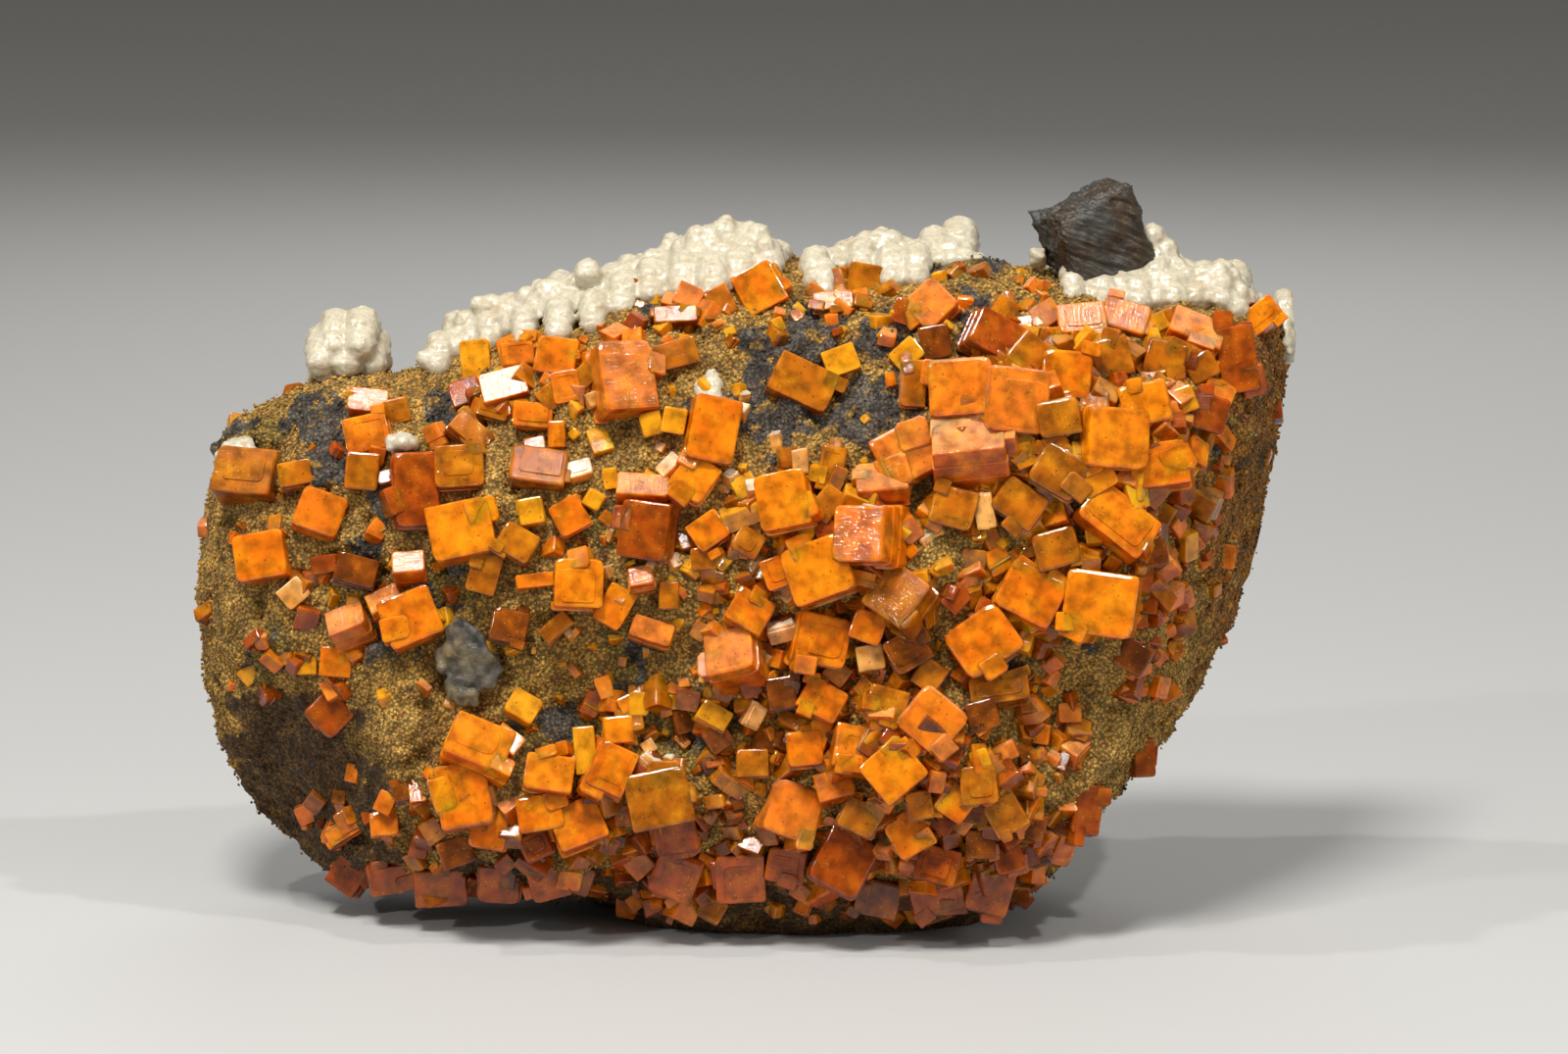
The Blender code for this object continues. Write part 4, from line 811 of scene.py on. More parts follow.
class Shader:
    """A material while its nodes are put together."""

    def __init__(self, name: str) -> None:
        """Makes the material with its main shader.

        Args:
            name: The material's name.
        """
        self.material = bpy.data.materials.new(name)
        self.material.use_nodes = True
        self.tree = self.material.node_tree
        self.main = self.tree.nodes["Principled BSDF"]
        self.output = self.tree.nodes["Material Output"]

    def feed(self, socket: Socket, value: object) -> None:
        """Gives an input its value, or joins it to an output.

        Args:
            socket: The input.
            value: A value, or the output of another node.
        """
        if isinstance(value, Socket):
            self.tree.links.new(value, socket)
        else:
            socket.default_value = value

    def node(
        self, kind: str, inputs: dict[str | int, object], output: str | int, **settings: object
    ) -> Socket:
        """Adds a node.

        Args:
            kind: Its kind.
            inputs: What each of its inputs gets.
            output: The output that is wanted.
            settings: Its settings by name.

        Returns:
            The output.
        """
        made = self.tree.nodes.new(kind)
        for name, setting in settings.items():
            setattr(made, name, setting)
        for name, value in inputs.items():
            self.feed(made.inputs[name], value)
        return made.outputs[output]

    @cached_property
    def place(self) -> Socket:
        """The place on the specimen in millimetres."""
        return self.scaled(self.node("ShaderNodeTexCoord", {}, "Object"), 1 / MM)

    def attribute(self, name: str, output: str) -> Socket:
        """A value kept with the mesh."""
        return self.node("ShaderNodeAttribute", {}, output, attribute_name=name)

    def stretched(self, vector: Socket, by: Place) -> Socket:
        """A place stretched along each direction."""
        return self.node("ShaderNodeVectorMath", {0: vector, 1: by}, "Vector", operation="MULTIPLY")

    def scaled(self, colour: object, by: object) -> Socket:
        """A colour or a place multiplied by one value."""
        inputs = {"Vector": colour, "Scale": by}
        return self.node("ShaderNodeVectorMath", inputs, "Vector", operation="SCALE")

    def maths(self, operation: str, a: object, b: object) -> Socket:
        """Two values put together."""
        return self.node("ShaderNodeMath", {0: a, 1: b}, 0, operation=operation)

    def mixed(self, share: object, a: object, b: object, blend: str = "MIX") -> Socket:
        """Two colours mixed by the share of the second one."""
        inputs = {0: share, 6: a, 7: b}
        return self.node("ShaderNodeMix", inputs, 2, data_type="RGBA", blend_type=blend)

    def clouds(self, scale: float, detail: float = 2.0, vector: Socket | None = None) -> Socket:
        """Soft random clouds.

        Args:
            scale: Clouds to the millimetre.
            detail: How many finer layers they have.
            vector: The place they are taken at, or None for the specimen's own.

        Returns:
            A value from 0 to 1.
        """
        inputs = {"Vector": vector or self.place, "Scale": scale, "Detail": detail}
        return self.node("ShaderNodeTexNoise", inputs, "Fac")

    def cells(self, scale: float, output: str = "Distance") -> Socket:
        """One value of random cells, so many to the millimetre."""
        return self.node("ShaderNodeTexVoronoi", {"Vector": self.place, "Scale": scale}, output)

    def span(
        self, value: Socket, low: float, high: float, to_low: float, to_high: float
    ) -> Socket:
        """A value carried over from one range to another, and held inside it.

        Args:
            value: The value.
            low: Start of its range.
            high: End of its range.
            to_low: What the start becomes.
            to_high: What the end becomes.

        Returns:
            The new value.
        """
        inputs = {"Value": value, "From Min": low, "From Max": high}
        inputs |= {"To Min": to_low, "To Max": to_high}
        return self.node("ShaderNodeMapRange", inputs, "Result")

    def bump(self, height: Socket, strength: float, depth: float) -> None:
        """Roughens the surface.

        Args:
            height: The height, from 0 to 1 or a little over.
            strength: How strongly it shows.
            depth: What a height of 1 is in millimetres.
        """
        inputs = {"Strength": strength, "Distance": depth * MM, "Height": height}
        self.feed(self.main.inputs["Normal"], self.node("ShaderNodeBump", inputs, "Normal"))

    def set(self, **values: object) -> None:
        """Gives the main shader's inputs, with underscores for spaces in their names."""
        for name, value in values.items():
            self.feed(self.main.inputs[name.replace("_", " ")], value)


@dataclass(frozen=True)
class Finish:
    """A finish that isn't metal.

    Attributes:
        name: The material's name.
    """

    name: str

    def dress(self, shader: Shader) -> None:
        """Sets the shader up.

        Args:
            shader: The shader.
        """
        raise NotImplementedError

    def material(self) -> bpy.types.Material:
        """Makes the material.

        Returns:
            The material.
        """
        shader = Shader(self.name)
        self.dress(shader)
        shader.set(Metallic=0.0)
        return shader.material


@dataclass(frozen=True)
class RockFinish(Finish):
    """Granular rock: round grains of two colours, each grain darker towards its edges: a painted
    shade in the gaps between them.

    Attributes:
        grains: Grains to the millimetre.
        gap_shade: How dark the painted shade in the gaps is, as a share of the grains' colour.
        depth: Depth of the gaps in millimetres.
    """

    grains: float
    gap_shade: float
    depth: float

    def dress(self, shader: Shader) -> None:
        """Sets the shader up.

        Args:
            shader: The shader.
        """
        tint = shader.attribute("tint", "Color")
        distance = shader.cells(self.grains)
        colour = shader.cells(self.grains, "Color")
        chance = shader.node("ShaderNodeSeparateColor", {0: colour}, 0).node.outputs
        light = shader.span(chance[0], 0.0, 1.0, 0.72, 1.2)
        # The grains darken towards their edges, where the bump sinks into gaps: painted shade.
        gaps = shader.span(distance, 0.28, 0.62, 1.0, self.gap_shade)
        clouds = shader.span(shader.clouds(0.35, 4.0), 0.3, 0.7, 0.7, 1.2)
        shade = shader.maths("MULTIPLY", shader.maths("MULTIPLY", light, gaps), clouds)
        warm = shader.mixed(
            shader.span(chance[1], 0.72, 1.0, 0.0, 0.75),
            tint,
            shader.mixed(1.0, tint, (1.1, 0.78, 0.5, 1.0), "MULTIPLY"),
        )
        shader.set(Base_Color=shader.scaled(warm, shade))
        shader.set(Roughness=shader.span(chance[2], 0.95, 1.0, 0.92, 0.5))
        fine = shader.clouds(7.0, 3.0)
        height = shader.maths("SUBTRACT", shader.maths("MULTIPLY", fine, 0.35), distance)
        shader.bump(height, 0.9, self.depth)


@dataclass(frozen=True)
class GemFinish(Finish):
    """See-through crystal with striated, partly frosted faces and painted sparkles.

    Attributes:
        clear: Share of the light that goes through.
        stain: Colour that the inside lets through.
        density: Strength of the stain, per metre.
        gloss: Roughness of a clean face.
        frost_and_sheen: Roughness of a frosted face.
        ridges: Depth of the striations in millimetres.
        heart: Colour of the lit parts inside.
    """

    clear: float
    stain: Colour
    density: float
    gloss: float
    frost_and_sheen: float
    ridges: float
    heart: Colour

    # Colour of the painted sparkles: yellow glints painted into the colour.
    PAINTED_SPARKLE = (1.0, 0.62, 0.08, 1.0)
    IOR = 1.58
    GLOSS_LEVEL = 0.36
    SCATTER_SHARE = 0.6
    SCATTER_MM = 1.0
    SCATTER_REACH = (1.0, 0.35, 0.05)

    def dress(self, shader: Shader) -> None:
        """Sets the shader up.

        Args:
            shader: The shader.
        """
        tint = shader.attribute("tint", "Color")
        frosted = shader.attribute("tint", "Alpha")
        own = shader.attribute("own_place", "Vector")
        light = shader.span(shader.clouds(0.45, 3.0), 0.45, 0.7, 0.0, 0.6)
        golden = shader.mixed(light, tint, (*self.heart, 1.0))
        deep = shader.span(shader.clouds(0.65, 6.0, own), 0.34, 0.62, 0.5, 1.08)
        specks = shader.span(shader.cells(1.1), 0.05, 0.16, 0.4, 1.0)
        inner = shader.scaled(golden, shader.maths("MULTIPLY", deep, specks))
        dense = shader.span(shader.clouds(0.45, 2.0), 0.42, 0.6, 0.0, 0.9)
        # Small bright yellow dots mixed into the colour here and there: painted sparkles.
        painted_sparkles = shader.span(shader.cells(2.4), 0.08, 0.14, 1.0, 0.0)
        painted_sparkles = shader.maths("MULTIPLY", painted_sparkles, dense)
        shader.set(Base_Color=shader.mixed(painted_sparkles, inner, self.PAINTED_SPARKLE))
        worn = shader.span(shader.clouds(2.6, 3.0), 0.45, 0.75, 0.0, 0.12)
        clean = shader.span(frosted, 0.0, 1.0, self.gloss, self.frost_and_sheen)
        shader.set(Roughness=shader.maths("ADD", clean, worn))
        along = shader.clouds(1.0, 2.0, shader.stretched(own, (0.5, 5.0, 5.0)))
        across = shader.clouds(1.0, 2.0, shader.stretched(own, (5.0, 0.5, 5.0)))
        grain = shader.maths("MULTIPLY", shader.clouds(5.0, 3.0), 0.5)
        ridges = shader.maths("ADD", shader.maths("MAXIMUM", along, across), grain)
        shader.bump(ridges, 0.6, self.ridges)
        shader.set(IOR=self.IOR, Transmission_Weight=self.clear)
        shader.set(Specular_IOR_Level=self.GLOSS_LEVEL, Subsurface_Weight=self.SCATTER_SHARE)
        shader.set(Subsurface_Scale=self.SCATTER_MM * MM, Subsurface_Radius=self.SCATTER_REACH)
        colours = {"Color": (*self.stain, 1.0), "Density": self.density}
        inside = shader.node("ShaderNodeVolumeAbsorption", colours, "Volume")
        shader.feed(shader.output.inputs["Volume"], inside)


@dataclass(frozen=True)
class MilkyFinish(Finish):
    """Milky calcite with a fine sparkle.

    Attributes:
        colour: Its white.
        stain: The colour of its stained hollows.
    """

    colour: Colour
    stain: Colour

    IOR = 1.6
    SCATTER_SHARE = 0.35
    SCATTER_MM = 0.9
    SCATTER_REACH = (1.0, 0.85, 0.7)

    def dress(self, shader: Shader) -> None:
        """Sets the shader up.

        Args:
            shader: The shader.
        """
        stained = shader.span(shader.clouds(0.45, 5.0), 0.52, 0.78, 0.0, 0.8)
        white = shader.mixed(stained, (*self.colour, 1.0), (*self.stain, 1.0))
        shade = shader.span(shader.clouds(2.2, 3.0), 0.3, 0.7, 0.82, 1.08)
        shader.set(Base_Color=shader.scaled(white, shade))
        shader.set(Roughness=shader.span(shader.clouds(1.3, 3.0), 0.35, 0.65, 0.08, 0.38))
        height = shader.maths("ADD", shader.clouds(4.5, 4.0), shader.cells(1.9))
        shader.bump(height, 0.6, 0.07)
        shader.set(IOR=self.IOR, Subsurface_Weight=self.SCATTER_SHARE)
        shader.set(Subsurface_Scale=self.SCATTER_MM * MM, Subsurface_Radius=self.SCATTER_REACH)


@dataclass(frozen=True)
class DarkFinish(Finish):
    """Dark, dull mineral with fine striations.

    Attributes:
        colour: Its main colour.
        other: The colour of its weathered parts.
        lines: How far the grain is drawn out along each direction.
    """

    colour: Colour
    other: Colour
    lines: Place

    def dress(self, shader: Shader) -> None:
        """Sets the shader up.

        Args:
            shader: The shader.
        """
        own = shader.attribute("own_place", "Vector")
        weathered = shader.span(shader.clouds(0.28, 4.0), 0.4, 0.62, 0.0, 1.0)
        colour = shader.mixed(weathered, (*self.colour, 1.0), (*self.other, 1.0))
        lines = shader.clouds(1.0, 4.0, shader.stretched(own, self.lines))
        shade = shader.span(lines, 0.35, 0.65, 0.45, 1.6)
        shader.set(Base_Color=shader.scaled(colour, shade))
        shader.set(Roughness=shader.span(shader.clouds(6.0, 2.0), 0.4, 0.7, 0.32, 0.75))
        shader.bump(shader.maths("ADD", lines, shader.clouds(3.5, 3.0)), 0.7, 0.16)


CLEAR_FINISH = GemFinish(
    "clear_wulfenite", 0.26, (1.0, 0.50, 0.03), 140.0, 0.03, 0.22, 0.035, (1.0, 0.38, 0.006)
)
AMBER_FINISH = GemFinish(
    "amber_wulfenite", 0.34, (0.98, 0.45, 0.05), 200.0, 0.03, 0.20, 0.07, (0.90, 0.36, 0.008)
)
DEEP_FINISH = GemFinish(
    "deep_wulfenite", 0.28, (0.9, 0.28, 0.03), 240.0, 0.03, 0.20, 0.06, (0.62, 0.16, 0.003)
)
FROSTED_FINISH = GemFinish(
    "frosted_wulfenite", 0.2, (1.0, 0.5, 0.1), 180.0, 0.08, 0.34, 0.05, (0.92, 0.32, 0.015)
)
GEM_FINISHES = (CLEAR_FINISH, AMBER_FINISH, DEEP_FINISH, FROSTED_FINISH)
MILKY_FINISH = MilkyFinish("milky_calcite", (0.52, 0.47, 0.35), (0.43, 0.33, 0.20))
FLAKE_FINISH = DarkFinish(
    "dark_flake", (0.060, 0.055, 0.046), (0.12, 0.085, 0.035), (1.0, 1.0, 1.0)
)


def dressed(
    name: str, mesh: Mesh, finish: Finish, nodes: Iterable[str] = ()
) -> Object:
    """Makes a piece of the specimen that has one finish.

    Args:
        name: Its name.
        mesh: Its mesh, in its place.
        finish: Its finish.
        nodes: The CAD nodes it stands for.

    Returns:
        The piece.
    """
    mesh.materials.append(finish.material())
    piece = linked(name, mesh)
    settle(piece, nodes)
    return piece


@dataclass(frozen=True)
class Crystal:
    """One square crystal of wulfenite with rounded rims, growth steps and cut corners.

    Attributes:
        wide: Width of the square face.
        high: Height of the square face.
        thick: Thickness.
        root: How far its back is drawn out into the rock.
        rounded: Whether each corner is rounded rather than cut.
        steps: Number of growth steps on its sides.
        look: How it looks.
        rim: Width of the rim round the face, as a share of the shorter side.
        rim_spread: Range of the factor of this width.
        cut: Range of a corner's cut, as a share of the shorter side.
        cut_limit: Greatest cut, as a share of half a ring's shorter side.
        corner: How much of the cut a rounded corner keeps.
        bevel: How far a rounded rim's middle lies down and in, as shares of the rim.
        step_half: Half the height of a growth step.
        step_spread: Where in its part of the side a step lies.
        step_end: Share of a part that is left without steps at the rim.
        step_in: Range of a step's inset, as a share of the shorter side.
        terrace_share: Share of the large crystals that have a terrace on the face.
        clean_strip: Strips narrower than this are never frosted.
        thin_rim: Width of the thinnest rim in millimetres.
        root_in: How far the root is drawn in, as a share of the shorter side.
        terraces: Heights of a terrace to choose from.
        terrace_in: How far a terrace is from the rim, from and to, as such a share.
        terrace_bevel: Inset of its edge.
        aside: How far a terrace is shifted at most, as a share of the side.
        taper: How far the crystal leans at most, as a share of its thickness.
        least_half: Half of the least side of a ring.
        frost_and_sheen_from: How far a face looks up from which it is frosted and takes the painted
            sheen.
        frost_and_sheen_over: Further value over which its frosting and painted sheen become full.
        down_shade_over: How far a face looks down that has the full painted shade of its lower
            colour.
        frost_and_sheen_spread: Range of the factor of the frosting and the painted sheen.
        shades: Range of a face's brightness.
    """

    wide: float
    high: float
    thick: float
    root: float
    rounded: bool
    steps: int
    look: Look
    rim: float = 0.04
    rim_spread: Span = (0.6, 1.5)
    cut: Span = (0.03, 0.17)
    cut_limit: float = 0.9
    corner: float = 0.27
    bevel: Span = (0.32, 0.3)
    step_half: float = 0.03
    step_spread: Span = (0.3, 0.8)
    step_end: float = 0.6
    step_in: Span = (-0.03, 0.045)
    terrace_share: float = 0.25
    clean_strip: float = 0.35
    thin_rim: float = 0.04
    root_in: float = 0.06
    terraces: tuple[float, ...] = (0.05, 0.09, 0.14, -0.08)
    terrace_in: Span = (0.09, 0.17)
    terrace_bevel: float = 0.05
    aside: float = 0.06
    taper: float = 0.04
    least_half: float = 0.06
    frost_and_sheen_from: float = 0.3
    frost_and_sheen_over: float = 0.45
    down_shade_over: float = 0.7
    frost_and_sheen_spread: Span = (0.6, 1.0)
    shades: Span = (0.9, 1.06)

    def sections(self, rng: random.Random) -> list[Ring]:
        """The crystal's rings, from its root to the middle of the face.

        Args:
            rng: Source of its irregularities.

        Returns:
            Height, inset and two offsets of each ring.
        """
        least = min(self.wide, self.high)
        rim = self.rim * least * rng.uniform(*self.rim_spread) + self.thin_rim
        back, top = -self.thick / 2, self.thick / 2
        rings = [(back - self.root, self.root_in * least, 0.0, 0.0)]
        inset = 0.0
        for step in range(self.steps):
            at = step + rng.uniform(*self.step_spread)
            at = back + at * (self.thick - rim) / (self.steps + self.step_end)
            rings.append((at - self.step_half, inset, 0.0, 0.0))
            inset = max(0.0, inset + rng.uniform(*self.step_in) * least)
            rings.append((at + self.step_half, inset, 0.0, 0.0))
        rings.append((top - rim, inset, 0.0, 0.0))
        if self.rounded:
            rings.append((top - self.bevel[0] * rim, inset + self.bevel[1] * rim, 0.0, 0.0))
        rings.append((top, inset + rim, 0.0, 0.0))
        if self.rounded and rng.random() < self.terrace_share:
            terrace = rng.choice(self.terraces)
            aside = [rng.uniform(-self.aside, self.aside) for _ in range(2)]
            shift = aside[0] * self.wide, aside[1] * self.high
            inner = inset + rim + rng.uniform(*self.terrace_in) * least
            rings.append((top, inner, *shift))
            rings.append((top + terrace, inner + self.terrace_bevel, *shift))
        return rings

    def ring(self, inset: float, cuts: Sequence[float]) -> list[tuple[float, float]]:
        """The outline of one ring, corner by corner.

        Args:
            inset: How far the ring is drawn in from the crystal's sides.
            cuts: The cut of each corner.

        Returns:
            The ring's points.
        """
        half_x = max(self.least_half, self.wide / 2 - inset)
        half_y = max(self.least_half, self.high / 2 - inset)
        outline: list[tuple[float, float]] = []
        for quarter, (sign_x, sign_y) in enumerate(((1, 1), (-1, 1), (-1, -1), (1, -1))):
            cut = min(cuts[quarter], self.cut_limit * min(half_x, half_y))
            corner = [(half_x, half_y - cut)]
            if self.rounded:
                corner.append((half_x - self.corner * cut, half_y - self.corner * cut))
            corner.append((half_x - cut, half_y))
            if sign_x * sign_y < 0:
                corner.reverse()
            outline += [(sign_x * x, sign_y * y) for x, y in corner]
        return outline

    def add_to(self, sheaf: Sheaf, stand: Matrix, rng: random.Random) -> None:
        """Adds the crystal to a sheaf.

        Args:
            sheaf: The sheaf.
            stand: The crystal's place and turn.
            rng: Source of its irregularities.
        """
        least = min(self.wide, self.high)
        cuts = [rng.uniform(*self.cut) * least for _ in range(4)]
        taper = Vector([rng.uniform(-self.taper, self.taper) for _ in range(2)])
        local: list[Vector] = []
        for z, inset, shift_x, shift_y in self.sections(rng):
            for x, y in self.ring(inset, cuts):
                local.append(Vector((x + shift_x + taper.x * z, y + shift_y + taper.y * z, z)))
        around = 12 if self.rounded else 8
        rings = len(local) // around
        faces: list[Face] = [tuple(reversed(range(around)))]
        for i in range(rings - 1):
            for j in range(around):
                k = (j + 1) % around
                a, b = i * around, (i + 1) * around
                faces.append((a + j, a + k, b + k, b + j))
        faces.append(tuple(range(around * (rings - 1), around * rings)))
        points = [stand @ p for p in local]
        colours = self.look.value
        tints = [self.tint(points, face, colours, rng) for face in faces]
        for i, face in enumerate(faces):
            if (points[face[0]] - points[face[-1]]).length < self.clean_strip:
                tints[i] = (*tints[i][:3], 0.0)
        away = Vector([rng.uniform(0, 90) for _ in range(3)])
        sheaf.add(points, faces, tints, colours.kind, [p + away for p in local])

    def tint(
        self,
        points: Sequence[Vector],
        face: Sequence[int],
        colours: LookColours,
        rng: random.Random,
    ) -> Tint:
        """The colour and the frosting of one face: painted shade where it looks down, painted sheen
        and frosting where it looks up.

        Args:
            points: The crystal's points.
            face: The face's points by number.
            colours: The crystal's colours.
            rng: Source of small differences.

        Returns:
            Red, green, blue and the share that is frosted.
        """
        a, b, c = (points[face[i]] for i in (0, 1, len(face) // 2 + 1))
        normal = (b - a).cross(c - a)
        normal.normalize()
        up = held((normal.z - self.frost_and_sheen_from) / self.frost_and_sheen_over)
        # Faces that look down take the darker lower colour: painted shade.
        down = held(-normal.z / self.down_shade_over)
        frosting_and_sheen = up * colours.frosting_and_sheen * rng.uniform(*self.frost_and_sheen_spread)
        body = Vector(colours.body).lerp(Vector(colours.low), down)
        shade = rng.uniform(*self.shades)
        # Faces that look up are mixed towards the paler colour: their frosting and a painted sheen.
        red, green, blue = (body * shade).lerp(Vector(colours.frost_and_sheen), frosting_and_sheen)
        return red, green, blue, frosting_and_sheen


@dataclass
class Rock:
    """The slab of matrix: a fine surface with patches of unlike ground.

    Attributes:
        shape: The slab's shape.
        room: The room that it keeps to.
        stations: Number of sections along its length.
        front: Points on the front of each section.
        back: Points on the back of each section.
        inwards: How far the smooth surface is drawn in.
        black_rough: How much rougher black ground is.
        pit_depth: Depth of the pits.
        pit_from: Value of the clouds at which a pit begins.
        pit_over: Further value over which it reaches its depth.
        foot_height: Height below which the foot stays flat.
        wander_waves: Waves by which the edges of the patches wander.
        patch_wander: How far the edge of a patch wanders, as a share.
        edge_wander: How far other edges wander, in millimetres.
        spotted_from: Value of the clouds at which black ground is spotted with tan.
        shaded_from: The same for the shaded spots of the right end.
        end_from: Place along the slab at which the brown right end begins.
        end_top: Height at which it ends.
        low_top: Height below which the ground is shaded.
        back_brown_from: Value of the large clouds at which the back is brown.
        black_below: Value of the large clouds below which ground is black or olive.
        pale_from: Value of the large clouds at which ground is pale.
        mottling: Waves of the share of light grains.
        finish: Its finish.
        piece: The finished object.
        surface: Its surface as measured, before it is moved over the origin.
    """

    shape: SlabShape
    room: Room
    stations: int = 300
    front: int = 226
    back: int = 96
    inwards: float = 0.22
    black_rough: float = 2.2
    pit_depth: float = 0.9
    pit_from: float = 0.34
    pit_over: float = 0.12
    foot_height: float = 0.05
    wander_waves: tuple[Span, ...] = ((2.4, 1.2), (6.0, 1.4))
    patch_wander: float = 0.45
    edge_wander: float = 3.0
    spotted_from: float = 0.32
    shaded_from: float = 0.34
    end_from: float = 47.0
    end_top: float = 62.0
    low_top: float = 7.0
    back_brown_from: float = 0.22
    black_below: float = -0.36
    pale_from: float = 0.3
    mottling: tuple[Span, ...] = ((1.3, 1.3),)
    finish: RockFinish = RockFinish("granular_matrix", 2.7, 0.3, 0.2)
    piece: Object | None = field(default=None, init=False)
    surface: BVHTree | None = field(default=None, init=False)

    def ground(self, point: Vector, front: bool) -> Ground:
        """The kind of ground at a point of the surface.

        Args:
            point: The point in measured millimetres.
            front: Whether it faces the eye.

        Returns:
            The kind of ground.
        """
        wander = waved(point, self.wander_waves)
        u, v = PLANE.place(point)
        if front:
            for at_u, at_v, half_u, half_v, kind in PATCHES:
                reach = math.hypot((u - at_u) / half_u, (v - at_v) / half_v)
                if reach + wander * self.patch_wander < 1.0:
                    spotted = noise.noise(point / 1.1) > self.spotted_from
                    return Ground.TAN if spotted and kind is Ground.BLACK else kind
        edge = self.edge_wander * wander
        if point.x > self.end_from + edge and point.z < self.end_top:
            return Ground.SHADE if noise.noise(point / 1.7) > self.shaded_from else Ground.BROWN
        if point.z < self.low_top + edge:
            return Ground.SHADE
        spread = noise.noise(point / 9.0 + Vector((31.0, 0.0, 0.0)))
        if not front and spread > self.back_brown_from:
            return Ground.BROWN
        if spread < self.black_below:
            return Ground.BLACK if noise.noise(point / 3.0) > 0.1 else Ground.OLIVE
        return Ground.PALE if spread > self.pale_from else Ground.TAN

    def moved(self, point: Vector, normal: Vector, kind: Ground) -> Vector:
        """A point of the smooth surface, roughened.

        Args:
            point: The point in measured millimetres.
            normal: The surface's direction there.
            kind: The kind of ground there.

        Returns:
            The point of the rough surface.
        """
        if point.z < self.foot_height:
            return point
        rough = self.black_rough if kind is Ground.BLACK else 1.0
        lift = -self.inwards
        for length, height in ROUGHNESS:
            lift += rough * height * noise.noise(point / length + Vector((7.0, 3.0, 1.0)))
        pit = noise.noise(point / 2.9 + Vector((0.0, 50.0, 0.0)))
        if pit > self.pit_from:
            lift -= self.pit_depth * min(1.0, (pit - self.pit_from) / self.pit_over)
        made = point + normal * lift
        made.z = max(0.0, made.z)
        return made

    def build(self) -> None:
        """Makes the rock's mesh and its colours."""
        points, faces = self.shape.grid(self.stations, self.front, self.back)
        mesh = bpy.data.meshes.new("matrix_rock")
        mesh.from_pydata(points, [], faces)
        normals = [vert.normal.copy() for vert in mesh.vertices]
        eye = PLANE.towards
        kinds = [self.ground(p, n.dot(eye) > 0.05) for p, n in zip(points, normals)]
        moved = [self.moved(p, n, k) for p, n, k in zip(points, normals, kinds)]
        self.surface = BVHTree.FromPolygons(moved, faces)
        places = self.room.kept(np.array([(p + CENTRE_SHIFT) * MM for p in moved]))
        mesh.vertices.foreach_set("co", places.ravel())
        tints = []
        for point, kind in zip(moved, kinds):
            grain, dark = kind.value
            share = held(0.5 + waved(point, self.mottling))
            tints.append((*Vector(dark).lerp(Vector(grain), share), 1.0))
        keep_tints(mesh, "POINT", tints)
        mesh.shade_smooth()
        mesh.update()
        self.piece = dressed("matrix_rock", mesh, self.finish, ("matrix",))


@dataclass
class GrainCoat:
    """Small angular grains all over the rock, as one joined mesh.

    Attributes:
        rock: The rock.
        name: The coat's name.
        seed: Seed of its irregularities.
        count: Number of grains.
        radius: Range of a grain's radius.
        sunk: How far a grain stands out, as a share of its radius.
        scatter: How far grains lie from the middles of the faces that carry them.
        back_share: Share of grains on faces that look away from the eye.
        dark_share: How far dark ground has grains too.
        foot_height: Height above which grains lie.
        uneven: Range of the reach of a grain's corners, in radii.
        shades: Range of a grain's brightness against its ground.
        reds: Range of a grain's redness against its ground.
        finish: Its finish.
    """

    rock: Rock
    name: str
    seed: int
    count: int = 20000
    radius: Span = (0.11, 0.25)
    sunk: float = 0.25
    scatter: float = 0.14
    back_share: float = 0.3
    dark_share: float = 0.35
    foot_height: float = 1.0
    uneven: Span = (0.7, 1.25)
    shades: Span = (0.72, 1.3)
    reds: Span = (0.9, 1.1)
    finish: RockFinish = RockFinish("matrix_grain", 5.0, 0.6, 0.05)

    def build(self) -> Object:
        """Makes the coat.

        Returns:
            The coat as one object.
        """
        rng = np.random.default_rng(self.seed)
        mesh = self.rock.piece.data
        count = len(mesh.polygons)
        area = read(mesh.polygons, "area", 1).ravel()
        centre = read(mesh.polygons, "center") / MM
        normal = read(mesh.polygons, "normal")
        tints = read(mesh.color_attributes["tint"].data, "color", 4)
        first = np.array([face.vertices[0] for face in mesh.polygons])
        facing = normal @ np.array(PLANE.towards) > -0.1
        area *= np.where(facing, 1.0, self.back_share) * (centre[:, 2] > self.foot_height)
        area *= self.dark_share + tints[first, 0]
        chosen = rng.choice(count, self.count, p=area / area.sum())
        size = rng.uniform(*self.radius, self.count)
        spread = rng.normal(0.0, self.scatter, (self.count, 3))
        middle = centre[chosen] + spread + normal[chosen] * (size * self.sunk)[:, None]
        spin = np.linalg.qr(rng.normal(size=(self.count, 3, 3)))[0]
        corners = np.array(GRAIN_CORNERS)
        corner_count, face_count = len(GRAIN_CORNERS), len(GRAIN_FACES)
        uneven = rng.uniform(*self.uneven, (self.count, corner_count, 1))
        points = np.einsum("nij,kj->nki", spin, corners) * uneven * size[:, None, None]
        points += middle[:, None, :]
        points = self.rock.room.kept(points * MM)
        starts = corner_count * np.arange(self.count)
        faces = np.array(GRAIN_FACES)[None] + starts[:, None, None]
        made = bpy.data.meshes.new(self.name)
        made.vertices.add(self.count * corner_count)
        made.vertices.foreach_set("co", points.ravel())
        made.loops.add(faces.size)
        made.loops.foreach_set("vertex_index", faces.ravel())
        made.polygons.add(self.count * face_count)
        made.polygons.foreach_set("loop_start", np.arange(self.count * face_count) * 3)
        grain = tints[first[chosen]].copy()
        grain[:, :3] *= rng.uniform(*self.shades, (self.count, 1))
        grain[:, 0] *= rng.uniform(*self.reds, self.count)
        keep_tints(made, "POINT", np.repeat(grain, corner_count, axis=0))
        made.update(calc_edges=True)
        return dressed(self.name, made, self.finish)


